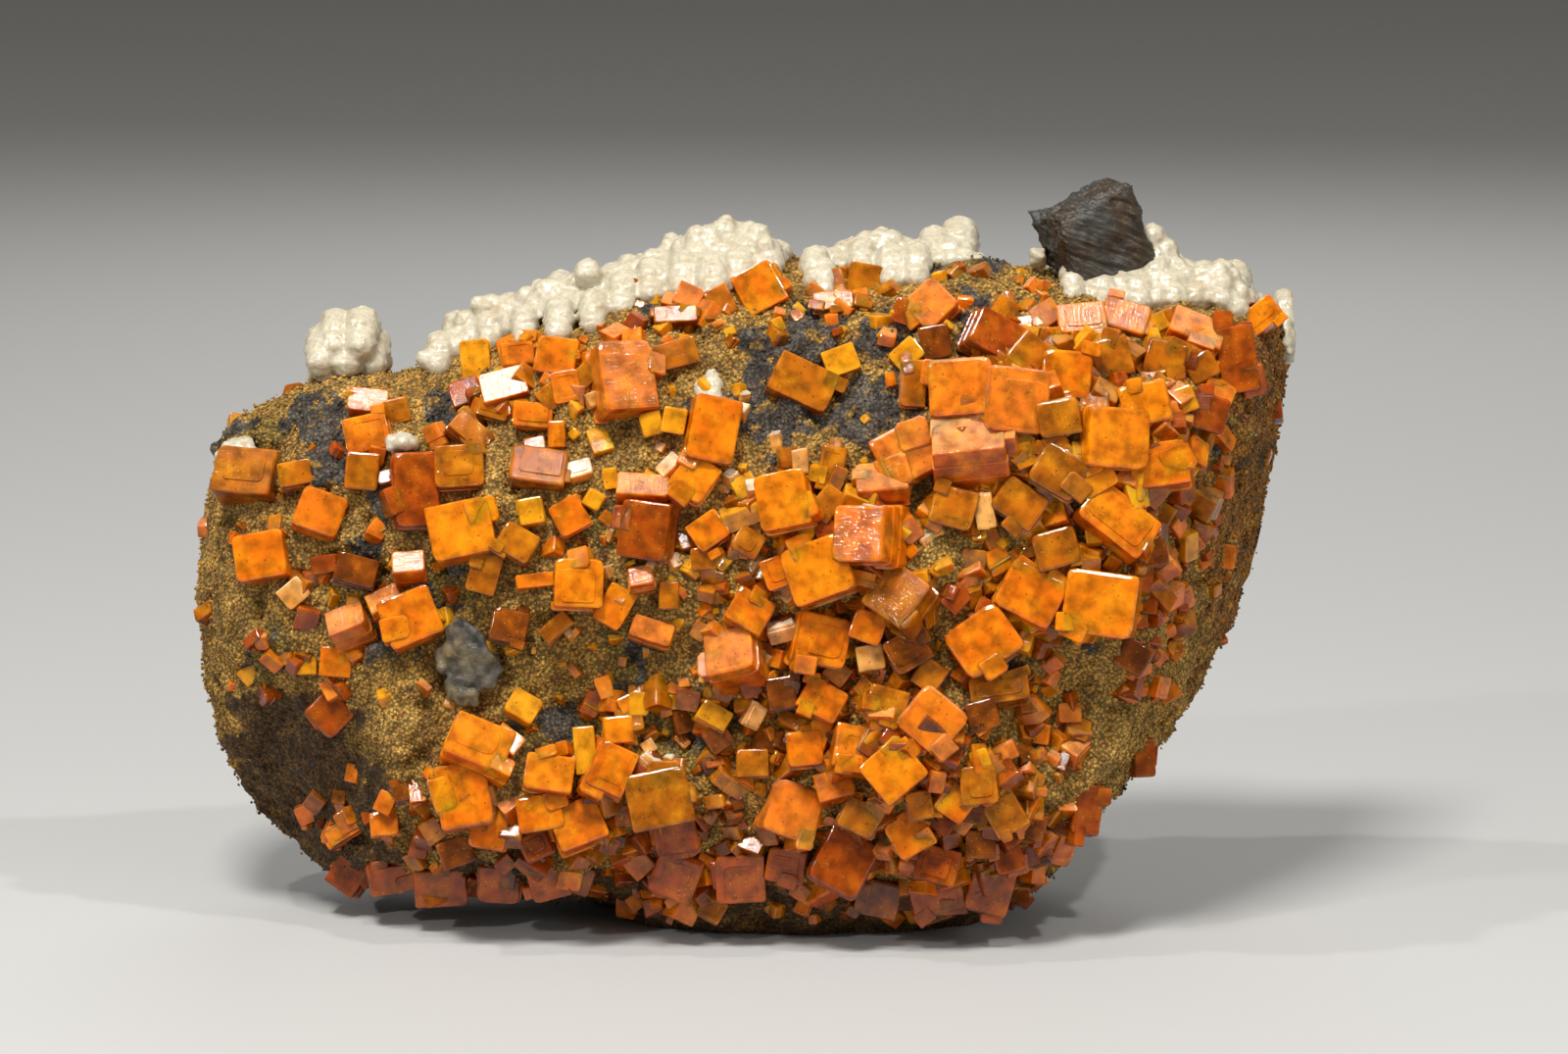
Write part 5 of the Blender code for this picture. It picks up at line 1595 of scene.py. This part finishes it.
@dataclass
class CrystalGroup:
    """The large crystals of one part of the front, each with smaller ones grown onto it.

    Attributes:
        name: The group's name.
        rows: Its measured crystals.
        seed: Seed of its irregularities.
        stand_share: How far a crystal's middle stands off the rock, as a share of its side.
        stand_side: Greatest side that counts for this.
        root: How far a crystal's back is drawn out into the rock.
        rounded_side: Side from which crystals are rounded.
        partner_side: Side from which they have smaller ones grown onto them.
        partner_share: Range of their sides, as a share of the large one's.
        partner_heights: Range of their heights, as a share of their width.
        partner_depths: Range of their thicknesses, as a share of the large one's.
        partner_outs: How far their faces stand out, from and to.
        partner_round: How round the line on which they sit is; 0 is square and 1 is round.
        partner_over: How far these stand over its edge, and by how much more at most.
        partner_tilts: Axes round which these are turned at random, and how far in degrees.
        middles: The crystals' middles.
    """

    name: str
    rows: Sequence[CrystalRow]
    seed: int
    stand_share: float = 0.1
    stand_side: float = 4.0
    root: float = 1.0
    rounded_side: float = 2.6
    partner_side: float = 3.6
    partner_share: Span = (0.3, 0.58)
    partner_heights: Span = (0.7, 1.2)
    partner_depths: Span = (0.7, 0.95)
    partner_outs: Span = (-0.3, 0.25)
    partner_round: float = 0.6
    partner_over: Span = (1.25, 0.4)
    partner_tilts: tuple[tuple[str, float], ...] = (("Z", 9), ("X", 7), ("Y", 7))
    middles: list[Vector] = field(default_factory=list, init=False)

    def __post_init__(self) -> None:
        """Starts the source of the irregularities."""
        self.rng = random.Random(self.seed)

    @staticmethod
    def turn(roll: float, pitch: float = 0.0, yaw: float = 0.0, spin: float = 0.0) -> Matrix:
        """A crystal's turn: its own axis starts towards the eye.

        Args:
            roll: Turn on the plane of the front, in degrees.
            pitch: How far its face looks up.
            yaw: How far its face looks to the right.
            spin: Turn round its own axis.

        Returns:
            The turn.
        """
        turn = Matrix.Rotation(math.radians(roll), 3, "Z")
        turn @= Matrix.Rotation(math.radians(yaw), 3, "Y")
        turn @= Matrix.Rotation(math.radians(-pitch), 3, "X")
        turn @= Matrix.Rotation(math.radians(spin), 3, "Z")
        return (PLANE.turn @ turn).to_4x4()

    def partners(self, sheaf: Sheaf, stand: Matrix, row: CrystalRow) -> None:
        """Adds smaller crystals that grew side by side with a large one.

        Args:
            sheaf: The sheaf.
            stand: The large crystal's place and turn.
            row: The large crystal's row.
        """
        rng = self.rng
        wide, high, thick, _, look = row[2:]
        for _ in range(rng.choice((0, 1, 1, 2))):
            share = rng.uniform(*self.partner_share)
            size = (share * wide, share * high * rng.uniform(*self.partner_heights))
            angle = rng.uniform(0.0, math.tau)
            x = powered(math.cos(angle), self.partner_round) * (wide - size[0]) / 2
            y = powered(math.sin(angle), self.partner_round) * (high - size[1]) / 2
            deep = thick * rng.uniform(*self.partner_depths)
            out = rng.uniform(*self.partner_outs)
            over = self.partner_over[0] + rng.uniform(0.0, self.partner_over[1])
            place = Matrix.Translation((x * over, y * over, (thick - deep) / 2 + out))
            tilt = Matrix.Identity(4)
            for axis, spread in self.partner_tilts:
                tilt @= Matrix.Rotation(math.radians(rng.gauss(0, spread)), 4, axis)
            part = Crystal(*size, deep, 0.0, False, 1, look)
            part.add_to(sheaf, stand @ place @ tilt, rng)

    def build(self, room: Room, nodes: Iterable[str]) -> Object:
        """Makes the group.

        Args:
            room: The room that it keeps to.
            nodes: The CAD nodes that the group stands for.

        Returns:
            The group as one object.
        """
        sheaf = Sheaf()
        for row, middle in zip(self.rows, self.middles):
            wide, high, thick, turns, look = row[2:]
            stand = Matrix.Translation(middle) @ self.turn(*turns)
            large = max(wide, high) >= self.rounded_side
            steps = self.rng.choice((1, 2, 2, 3)) if large else 1
            crystal = Crystal(wide, high, thick, self.root, large, steps, look)
            crystal.add_to(sheaf, stand, self.rng)
            if max(wide, high) >= self.partner_side:
                self.partners(sheaf, stand, row)
        piece = sheaf.build(self.name, GEM_FINISHES, room)
        settle(piece, nodes)
        return piece

    def place(self, seats: BVHTree) -> None:
        """Works out where each crystal's middle is.

        Args:
            seats: The surface on which the crystals were measured.
        """
        for row in self.rows:
            u, v, wide, high = row[:4]
            stand_off = self.stand_share * min(wide, high, self.stand_side)
            self.middles.append(PLANE.seat(seats, u, v) - PLANE.sight(u, v) * stand_off)


@dataclass
class SmallCrystals:
    """Small crystals strewn over the rock, denser where the specimen has them.

    Attributes:
        rock: The rock.
        seed: Seed of their places.
        tilt_deg: How far they lean at random.
        seated: How far they stand out, as a share of their thickness.
        root: How far they go into the rock, as a share of their side.
        rounded_side: Side from which they are rounded.
        side_count: How many are tried on the sides and the back.
        sides: Range of their sides.
        start_reach: Distance from which their places are sought.
        start_heights: Range of heights from which they are sought.
        aim_along: Range of places along the slab at which they are sought.
        aim_heights: Range of heights at which they are sought.
        thickness: Range of thicknesses, as a share of the side.
        heights: Range of the shorter side, as a share of the longer one.
        size_power: How much commoner the smaller sizes are.
    """

    rock: Rock
    seed: int
    tilt_deg: float = 52.0
    seated: float = 0.12
    root: float = 0.45
    rounded_side: float = 2.0
    side_count: int = 90
    sides: Span = (1.0, 2.6)
    start_reach: float = 300.0
    start_heights: Span = (8.0, 120.0)
    aim_along: Span = (-50, 50)
    aim_heights: Span = (10.0, 55.0)
    thickness: Span = (0.35, 0.95)
    heights: Span = (0.6, 1.0)
    size_power: float = 1.6

    def __post_init__(self) -> None:
        """Starts the source of chance."""
        self.rng = random.Random(self.seed)

    def plant(
        self, sheaf: Sheaf, spot: Vector, normal: Vector, side: float, look: Look
    ) -> None:
        """Adds one crystal that stands on the rock, if it fits.

        Args:
            sheaf: The sheaf.
            spot: Its place on the surface.
            normal: The surface's direction there.
            side: Its longer side.
            look: How it looks.
        """
        rng = self.rng
        lean = Vector([rng.gauss(0, 1) for _ in range(3)])
        axis = (normal + lean * math.tan(math.radians(self.tilt_deg)) * 0.6).normalized()
        turn = axis.to_track_quat("Z", "Y").to_matrix().to_4x4()
        turn @= Matrix.Rotation(rng.uniform(0.0, math.tau), 4, "Z")
        thick = side * rng.uniform(*self.thickness)
        stand = Matrix.Translation(spot + axis * thick * self.seated) @ turn
        reach = Vector((side, side, thick)) / 2
        quarters = ((1, 1), (1, -1), (-1, 1), (-1, -1))
        box = [stand @ Vector((reach.x * i, reach.y * j, reach.z)) for i, j in quarters]
        if self.rock.room.holds(box):
            high = side * rng.uniform(*self.heights)
            rounded = side > self.rounded_side
            crystal = Crystal(side, high, thick, self.root * side, rounded, 1, look)
            crystal.add_to(sheaf, stand, rng)

    def build(self) -> Object:
        """Makes all of them.

        Returns:
            The crystals as one object.
        """
        rng, sheaf = self.rng, Sheaf()
        for u, v, half_u, half_v, count, least, most, looks in SMALL_ZONES:
            for _ in range(count):
                at_u = u + half_u * rng.uniform(-1, 1)
                at_v = v + half_v * rng.uniform(-1, 1)
                spot, normal, _, _ = self.rock.surface.ray_cast(PLANE.eye, PLANE.sight(at_u, at_v))
                if spot is None:
                    continue
                side = least + (most - least) * rng.random() ** self.size_power
                self.plant(sheaf, spot, normal, side, rng.choice(looks))
        for _ in range(self.side_count):
            angle = rng.uniform(0.0, math.tau)
            reach = self.start_reach
            aside, ahead = reach * math.cos(angle), reach * math.sin(angle)
            start = Vector((aside, ahead, rng.uniform(*self.start_heights)))
            along, height = rng.uniform(*self.aim_along), rng.uniform(*self.aim_heights)
            aim = Vector((along, 4.0, height))
            spot, normal, _, _ = self.rock.surface.ray_cast(start, (aim - start).normalized())
            if spot is not None and normal.dot(PLANE.towards) < 0.2:
                side = rng.uniform(*self.sides)
                self.plant(sheaf, spot, normal, side, rng.choice(DEEP + WARM))
        piece = sheaf.build("small_crystals", GEM_FINISHES, self.rock.room)
        settle(piece)
        return piece


@dataclass
class Crust:
    """A body of rounded balls grown over the CAD's coarse one.

    Attributes:
        node: The CAD node it stands for.
        slot: Not used.
        finish: Its finish.
        ball: Range of a ball's radius.
        seats: The surface that it hangs on.
        seed: Seed of its irregularities.
        fine: Side of its faces.
        smooth: How many times its skin is evened out.
        sunk: How far the coarse body is drawn in, as a share of the least ball.
        set_in: How far a ball lies below the coarse body's face, as a share of its radius.
        spacing: Least distance of two balls, as a share of their radii together.
        inner_steps: Where the balls behind a hanging one lie.
        inner_share: How much larger these are.
    """

    node: Object
    slot: str
    finish: Finish
    ball: tuple[float, float]
    seats: BVHTree
    seed: int
    fine: float = 0.24
    smooth: int = 4
    sunk: float = 0.35
    set_in: float = 0.75
    spacing: float = 0.52
    inner_steps: tuple[Place, ...] = ((0.0, 1.3, 1.0), (0.0, 2.6, 1.7))
    inner_share: float = 1.15

    def hanging(self) -> list[Ball]:
        """The balls at the lower edge, and those behind them.

        Returns:
            Places and radii in metres.
        """
        balls: list[Ball] = []
        for u, v, radius in HANGING.get(self.node.name, ()):
            seat = PLANE.seat(self.seats, u, v)
            balls.append((seat, radius))
            for step in self.inner_steps:
                balls.append((seat + Vector(step), radius * self.inner_share))
        if self.node.name == "calcite_crust_right":
            balls += [(PLANE.at_depth(u, v, BEHIND_DEPTH), size) for u, v, size in BEHIND_BLOCK]
        return [((place + CENTRE_SHIFT) * MM, radius * MM) for place, radius in balls]

    def balls(self) -> list[Ball]:
        """The balls on the node's upper and outer faces.

        Returns:
            Places and radii in metres.
        """
        rng = random.Random(self.seed)
        mesh = self.node.data
        spots: list[Ball] = []
        faces = [f for f in mesh.polygons if f.normal.z > -0.35]
        areas = [f.area for f in faces]
        for _ in range(int(sum(areas) / MM**2 / (2.2 * self.ball[1] ** 2)) * 4):
            face = rng.choices(faces, areas)[0]
            corners = [mesh.vertices[i].co for i in face.vertices]
            a, b = sorted((rng.random(), rng.random()))
            spot = corners[0] * a + corners[1] * (b - a) + corners[2] * (1 - b)
            radius = rng.uniform(*self.ball) * MM
            spot = spot - face.normal * radius * self.set_in
            apart = self.spacing
            if all((spot - other).length > apart * (radius + size) for other, size in spots):
                spots.append((spot, radius))
        return spots

    @staticmethod
    def wave(place: Vector) -> float:
        """How far the skin's small waves stand out at a place, in millimetres."""
        return waved(place, SKIN_WAVES)

    def build(self, room: Room) -> Object:
        """Makes the body.

        Args:
            room: The room that it keeps to.

        Returns:
            The body as one object that stands for the node.
        """
        name = f"{self.node.name}_grown"
        mesh = self.node.data
        points = [v.co - v.normal * self.sunk * self.ball[0] * MM for v in mesh.vertices]
        faces = [tuple(face.vertices) for face in mesh.polygons]
        unit, sides = ball_net()
        for spot, radius in self.balls() + self.hanging():
            start = len(points)
            points += [spot + p * radius for p in unit]
            faces += [tuple(i + start for i in side) for side in sides]
        mesh = bpy.data.meshes.new(name)
        mesh.from_pydata(points, [], faces)
        made = remeshed(mesh, name, self.fine * MM, self.smooth)
        lift_skin(made, self.wave, Matrix.Identity(4), room)
        return dressed(name, made, self.finish, (self.node.name,))


@dataclass
class DarkBlock:
    """The striated dark block on the top right edge.

    Attributes:
        node: The CAD node it stands for.
        middle: Its middle, as measured.
        turns_deg: How it is turned about X, Y and Z.
        rib_turn_deg: How far the ribs are turned round its front.
        rib_stretch: Share by which the ribs are drawn out along themselves.
        ribs: Width and height of its ribs.
        crags: Width and height of its crags.
        coarse: Side of the faces with which its corners are blunted.
        blunting: How many times they are evened out.
        fine: Side of its faces.
        smooth: How many times its skin is evened out.
        finish: Its finish.
    """

    node: Object
    middle: Place = (35.6, 4.0, 70.0)
    turns_deg: Place = (8.0, -18.0, 24.0)
    rib_turn_deg: float = 130.0
    rib_stretch: float = 0.10
    ribs: tuple[Span, ...] = ((0.95, 0.55), (0.40, 0.3))
    crags: tuple[Span, ...] = ((2.6, 0.5), (0.9, 0.14))
    coarse: float = 0.6
    blunting: int = 12
    fine: float = 0.17
    smooth: int = 6
    finish: DarkFinish = DarkFinish(
        "dark_striated", (0.046, 0.045, 0.038), (0.042, 0.026, 0.013), (4.0, 4.0, 0.5)
    )

    def stand(self) -> Matrix:
        """Where the block's own directions are.

        Returns:
            Their place and turn.
        """
        turn = Matrix.Translation((Vector(self.middle) + CENTRE_SHIFT) * MM)
        for axis, angle in zip("XYZY", (*self.turns_deg, self.rib_turn_deg)):
            turn @= Matrix.Rotation(math.radians(angle), 4, axis)
        return turn

    def striation(self, own: Vector) -> float:
        """How far the ribs and crags stand out.

        Args:
            own: A place in the block's own directions, in millimetres.

        Returns:
            Millimetres outwards.
        """
        along = Vector((own.x, own.y, own.z * self.rib_stretch))
        ribs = sum(h * -abs(noise.noise(along / size)) for size, h in self.ribs)
        return ribs + sum(h * (noise.noise(own / size) - 0.2) for size, h in self.crags)

    def build(self, room: Room) -> Object:
        """Makes the block.

        Args:
            room: The room that it keeps to.

        Returns:
            The block as one object that stands for the node.
        """
        name = "dark_block_striated"
        blunt = remeshed(self.node.data.copy(), "blunt", self.coarse * MM, self.blunting)
        refit(blunt, self.node.data)
        made = remeshed(blunt, name, self.fine * MM, self.smooth)
        lift_skin(made, self.striation, self.stand().inverted(), room)
        return dressed(name, made, self.finish, (self.node.name,))


def ball_net() -> tuple[list[Vector], list[Face]]:
    """A ball of radius 1.

    Returns:
        Its points, and its faces as numbers of points.
    """
    points = [Vector((0.0, 0.0, 1.0))]
    rings, around = BALL_NET
    for i in range(1, rings):
        polar = math.pi * i / rings
        for j in range(around):
            turn = math.tau * j / around
            flat = math.sin(polar)
            points.append(Vector((flat * math.cos(turn), flat * math.sin(turn), math.cos(polar))))
    points.append(Vector((0.0, 0.0, -1.0)))
    last = len(points) - 1
    faces: list[Face] = []
    for j in range(around):
        k = (j + 1) % around
        faces.append((0, 1 + j, 1 + k))
        for i in range(rings - 2):
            a = 1 + i * around
            faces.append((a + j, a + around + j, a + around + k, a + k))
        end = last - around
        faces.append((end + j, last, end + k))
    return points, faces


def remeshed(mesh: Mesh, name: str, size: float, smooth: int) -> Mesh:
    """Overlapping bodies grown together into one even skin.

    Args:
        mesh: The bodies, in metres; it is used up.
        name: Name of the new mesh.
        size: Side of its faces in metres.
        smooth: How many times the skin is evened out.

    Returns:
        The skin.
    """
    held = linked("held", mesh)
    net = held.modifiers.new("skin", "REMESH")
    net.mode = "VOXEL"
    net.voxel_size = size
    even = held.modifiers.new("even", "SMOOTH")
    even.iterations = smooth
    even.factor = 0.5
    bpy.context.view_layer.update()
    graph = bpy.context.evaluated_depsgraph_get()
    made = bpy.data.meshes.new_from_object(held.evaluated_get(graph))
    made.name = name
    made.materials.clear()
    bpy.data.objects.remove(held)
    bpy.data.meshes.remove(mesh)
    made.shade_smooth()
    return made


def refit(mesh: Mesh, like: Mesh) -> None:
    """Stretches a mesh to the box of another.

    Args:
        mesh: The mesh that changes.
        like: The mesh whose box it gets.
    """
    own, aim = read(mesh.vertices, "co"), read(like.vertices, "co")
    share = (own - own.min(axis=0)) / np.ptp(own, axis=0)
    mesh.vertices.foreach_set("co", (aim.min(axis=0) + share * np.ptp(aim, axis=0)).ravel())


def lift_skin(
    mesh: Mesh,
    lift: Callable[[Vector], float],
    into: Matrix,
    room: Room,
) -> None:
    """Raises a skin's points and keeps their places in the body's own directions.

    Args:
        mesh: The skin, in metres.
        lift: How far a point is raised, in millimetres, from its own place.
        into: Leads from the specimen to the body's own directions.
        room: The room that the skin keeps to.
    """
    places, normals = read(mesh.vertices, "co"), read(mesh.vertices, "normal")
    own_places = [(into @ Vector(place)) / MM for place in places]
    lifts = np.array([lift(place) for place in own_places]) * MM
    lifted = room.kept(places + normals * lifts[:, None])
    mesh.vertices.foreach_set("co", lifted.ravel())
    keep_places(mesh, own_places)
    mesh.update()


@dataclass(frozen=True)
class Lamp:
    """A soft rectangular lamp.

    Attributes:
        name: Its name.
        place: Where it stands, in metres.
        size: Its side in metres.
        power: Its power in watts.
        colour: Its colour.
        mirrored: Whether gloss mirrors it.
        aim: The place it shines at, in metres.
    """

    name: str
    place: Place
    size: float
    power: float
    colour: Colour = (1.0, 1.0, 1.0)
    mirrored: bool = True
    aim: Place = (0.0, 0.0, 0.035)

    def build(self) -> None:
        """Makes the lamp, aimed at the specimen."""
        data = bpy.data.lights.new(self.name, "AREA")
        data.size = self.size
        data.energy = self.power
        data.color = self.colour
        lamp = linked(self.name, data)
        lamp.location = self.place
        lamp.visible_glossy = self.mirrored
        lamp.rotation_mode = "QUATERNION"
        lamp.rotation_quaternion = (Vector(self.aim) - Vector(self.place)).to_track_quat("-Z", "Y")


@dataclass(frozen=True)
class Studio:
    """The pale floor, the lamps, the surrounding light and the camera.

    Attributes:
        lamps: The lamps.
        world: Colour of the surrounding light.
        world_power: Its strength.
        floor_colour: Colour of the floor.
        floor_roughness: Roughness of the floor.
        floor_side: Side of the floor in metres.
        floor_drop: How far the floor lies below the foot, in metres.
        lens: Length of the lens in millimetres.
        sensor: Width of the picture in the camera.
        clip_start: Nearest distance in metres that the camera sees.
    """

    lamps: tuple[Lamp, ...] = (
        Lamp("key", (-0.10, -0.30, 0.55), 0.13, 3.8, (1.0, 0.97, 0.93)),
        Lamp("fill", (0.45, -0.45, 0.25), 0.35, 1.0, (1.0, 0.98, 0.95), False),
        Lamp("glint_left", (-0.40, -0.35, 0.30), 0.022, 0.8),
        Lamp("glint_right", (0.25, -0.25, 0.50), 0.022, 0.9),
        Lamp("glint_high", (-0.28, -0.10, 0.60), 0.022, 0.8),
        Lamp("back", (0.05, 0.50, 0.40), 0.40, 1.2, (1.0, 1.0, 1.0), False),
    )
    world: Colour = (0.82, 0.80, 0.76)
    world_power: float = 0.18
    floor_colour: Colour = (0.46, 0.46, 0.45)
    floor_roughness: float = 0.75
    floor_side: float = 4.0
    floor_drop: float = 0.0002
    lens: float = 126.0
    sensor: float = 36.0
    clip_start: float = 0.02

    def add_floor(self) -> None:
        """Makes the floor."""
        half = self.floor_side / 2
        corners = [(-half, -half), (half, -half), (half, half), (-half, half)]
        mesh = bpy.data.meshes.new("floor")
        mesh.from_pydata([(x, y, -self.floor_drop) for x, y in corners], [], [(0, 1, 2, 3)])
        shader = Shader("floor")
        shader.set(Base_Color=(*self.floor_colour, 1.0), Roughness=self.floor_roughness)
        mesh.materials.append(shader.material)
        floor = linked("floor", mesh)
        floor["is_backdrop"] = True

    def add_world(self) -> None:
        """Makes the even light all round."""
        world = bpy.data.worlds.new("room")
        world.use_nodes = True
        light = world.node_tree.nodes["Background"]
        light.inputs["Color"].default_value = (*self.world, 1.0)
        light.inputs["Strength"].default_value = self.world_power
        bpy.context.scene.world = world

    def add_camera(self) -> None:
        """Sets the camera up at the eye."""
        data = bpy.data.cameras.new("camera")
        data.lens = self.lens
        data.sensor_width = self.sensor
        data.clip_start = self.clip_start
        camera = linked("camera", data)
        place = Matrix.Translation((PLANE.eye + CENTRE_SHIFT) * MM)
        camera.matrix_world = place @ PLANE.turn.to_4x4()
        bpy.context.scene.camera = camera

    def build(self) -> None:
        """Sets the whole studio up."""
        self.add_floor()
        self.add_world()
        self.add_camera()
        for lamp in self.lamps:
            lamp.build()
        bpy.context.scene.view_settings.view_transform = "Standard"


def nearest_groups(
    groups: Sequence[CrystalGroup], nodes: dict[str, Object]
) -> dict[str, list[str]]:
    """Finds which group stands for each of the CAD's crystal nodes: the one nearest to it.

    Args:
        groups: The groups, with their crystals' middles.
        nodes: The CAD nodes by name.

    Returns:
        The nodes' names for each group's name.
    """
    wanted: dict[str, list[str]] = {group.name: [] for group in groups}
    for name in sorted(nodes):
        if name.startswith("wulfenite_"):
            low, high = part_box(name)
            middle = (Vector(low) + Vector(high)) / 2 / MM - CENTRE_SHIFT
            nearest = min(groups, key=lambda g: min((m - middle).length for m in g.middles))
            wanted[nearest.name].append(name)
    return wanted


def main() -> None:
    """Builds the specimen's looks piece by piece."""
    logging.basicConfig(level=logging.INFO, format="%(message)s")
    noise.seed_set(NOISE_SEED)
    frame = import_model()
    cad_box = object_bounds()
    room = Room(*cad_box)
    nodes = frame["nodes"]

    shape = SlabShape()
    seats = shape.seats()
    rock = Rock(shape, room)
    rock.build()
    for number, name in enumerate(("matrix_grains_fine", "matrix_grains_more")):
        GrainCoat(rock, name, GRAIN_SEED + number).build()

    rows = enumerate(CRYSTALS.items())
    groups = [CrystalGroup(name, row, GROUP_SEED + number) for number, (name, row) in rows]
    for group in groups:
        group.place(seats)
    wanted = nearest_groups(groups, nodes)
    for group in groups:
        group.build(room, wanted[group.name])
    SmallCrystals(rock, SMALL_SEED).build()

    for number, name in enumerate(sorted(nodes)):
        if name.startswith("calcite_"):
            size = BALL_SIZES["crust" in name]
            seed = CRUST_SEED + number
            Crust(nodes[name], "calcite", MILKY_FINISH, size, seats, seed).build(room)
    flake = nodes["dark_flake"]
    Crust(flake, "dark_mineral", FLAKE_FINISH, FLAKE_BALLS, seats, FLAKE_SEED).build(room)
    DarkBlock(nodes["dark_block"]).build(room)

    Studio().build()


if __name__ == "__main__":
    main()
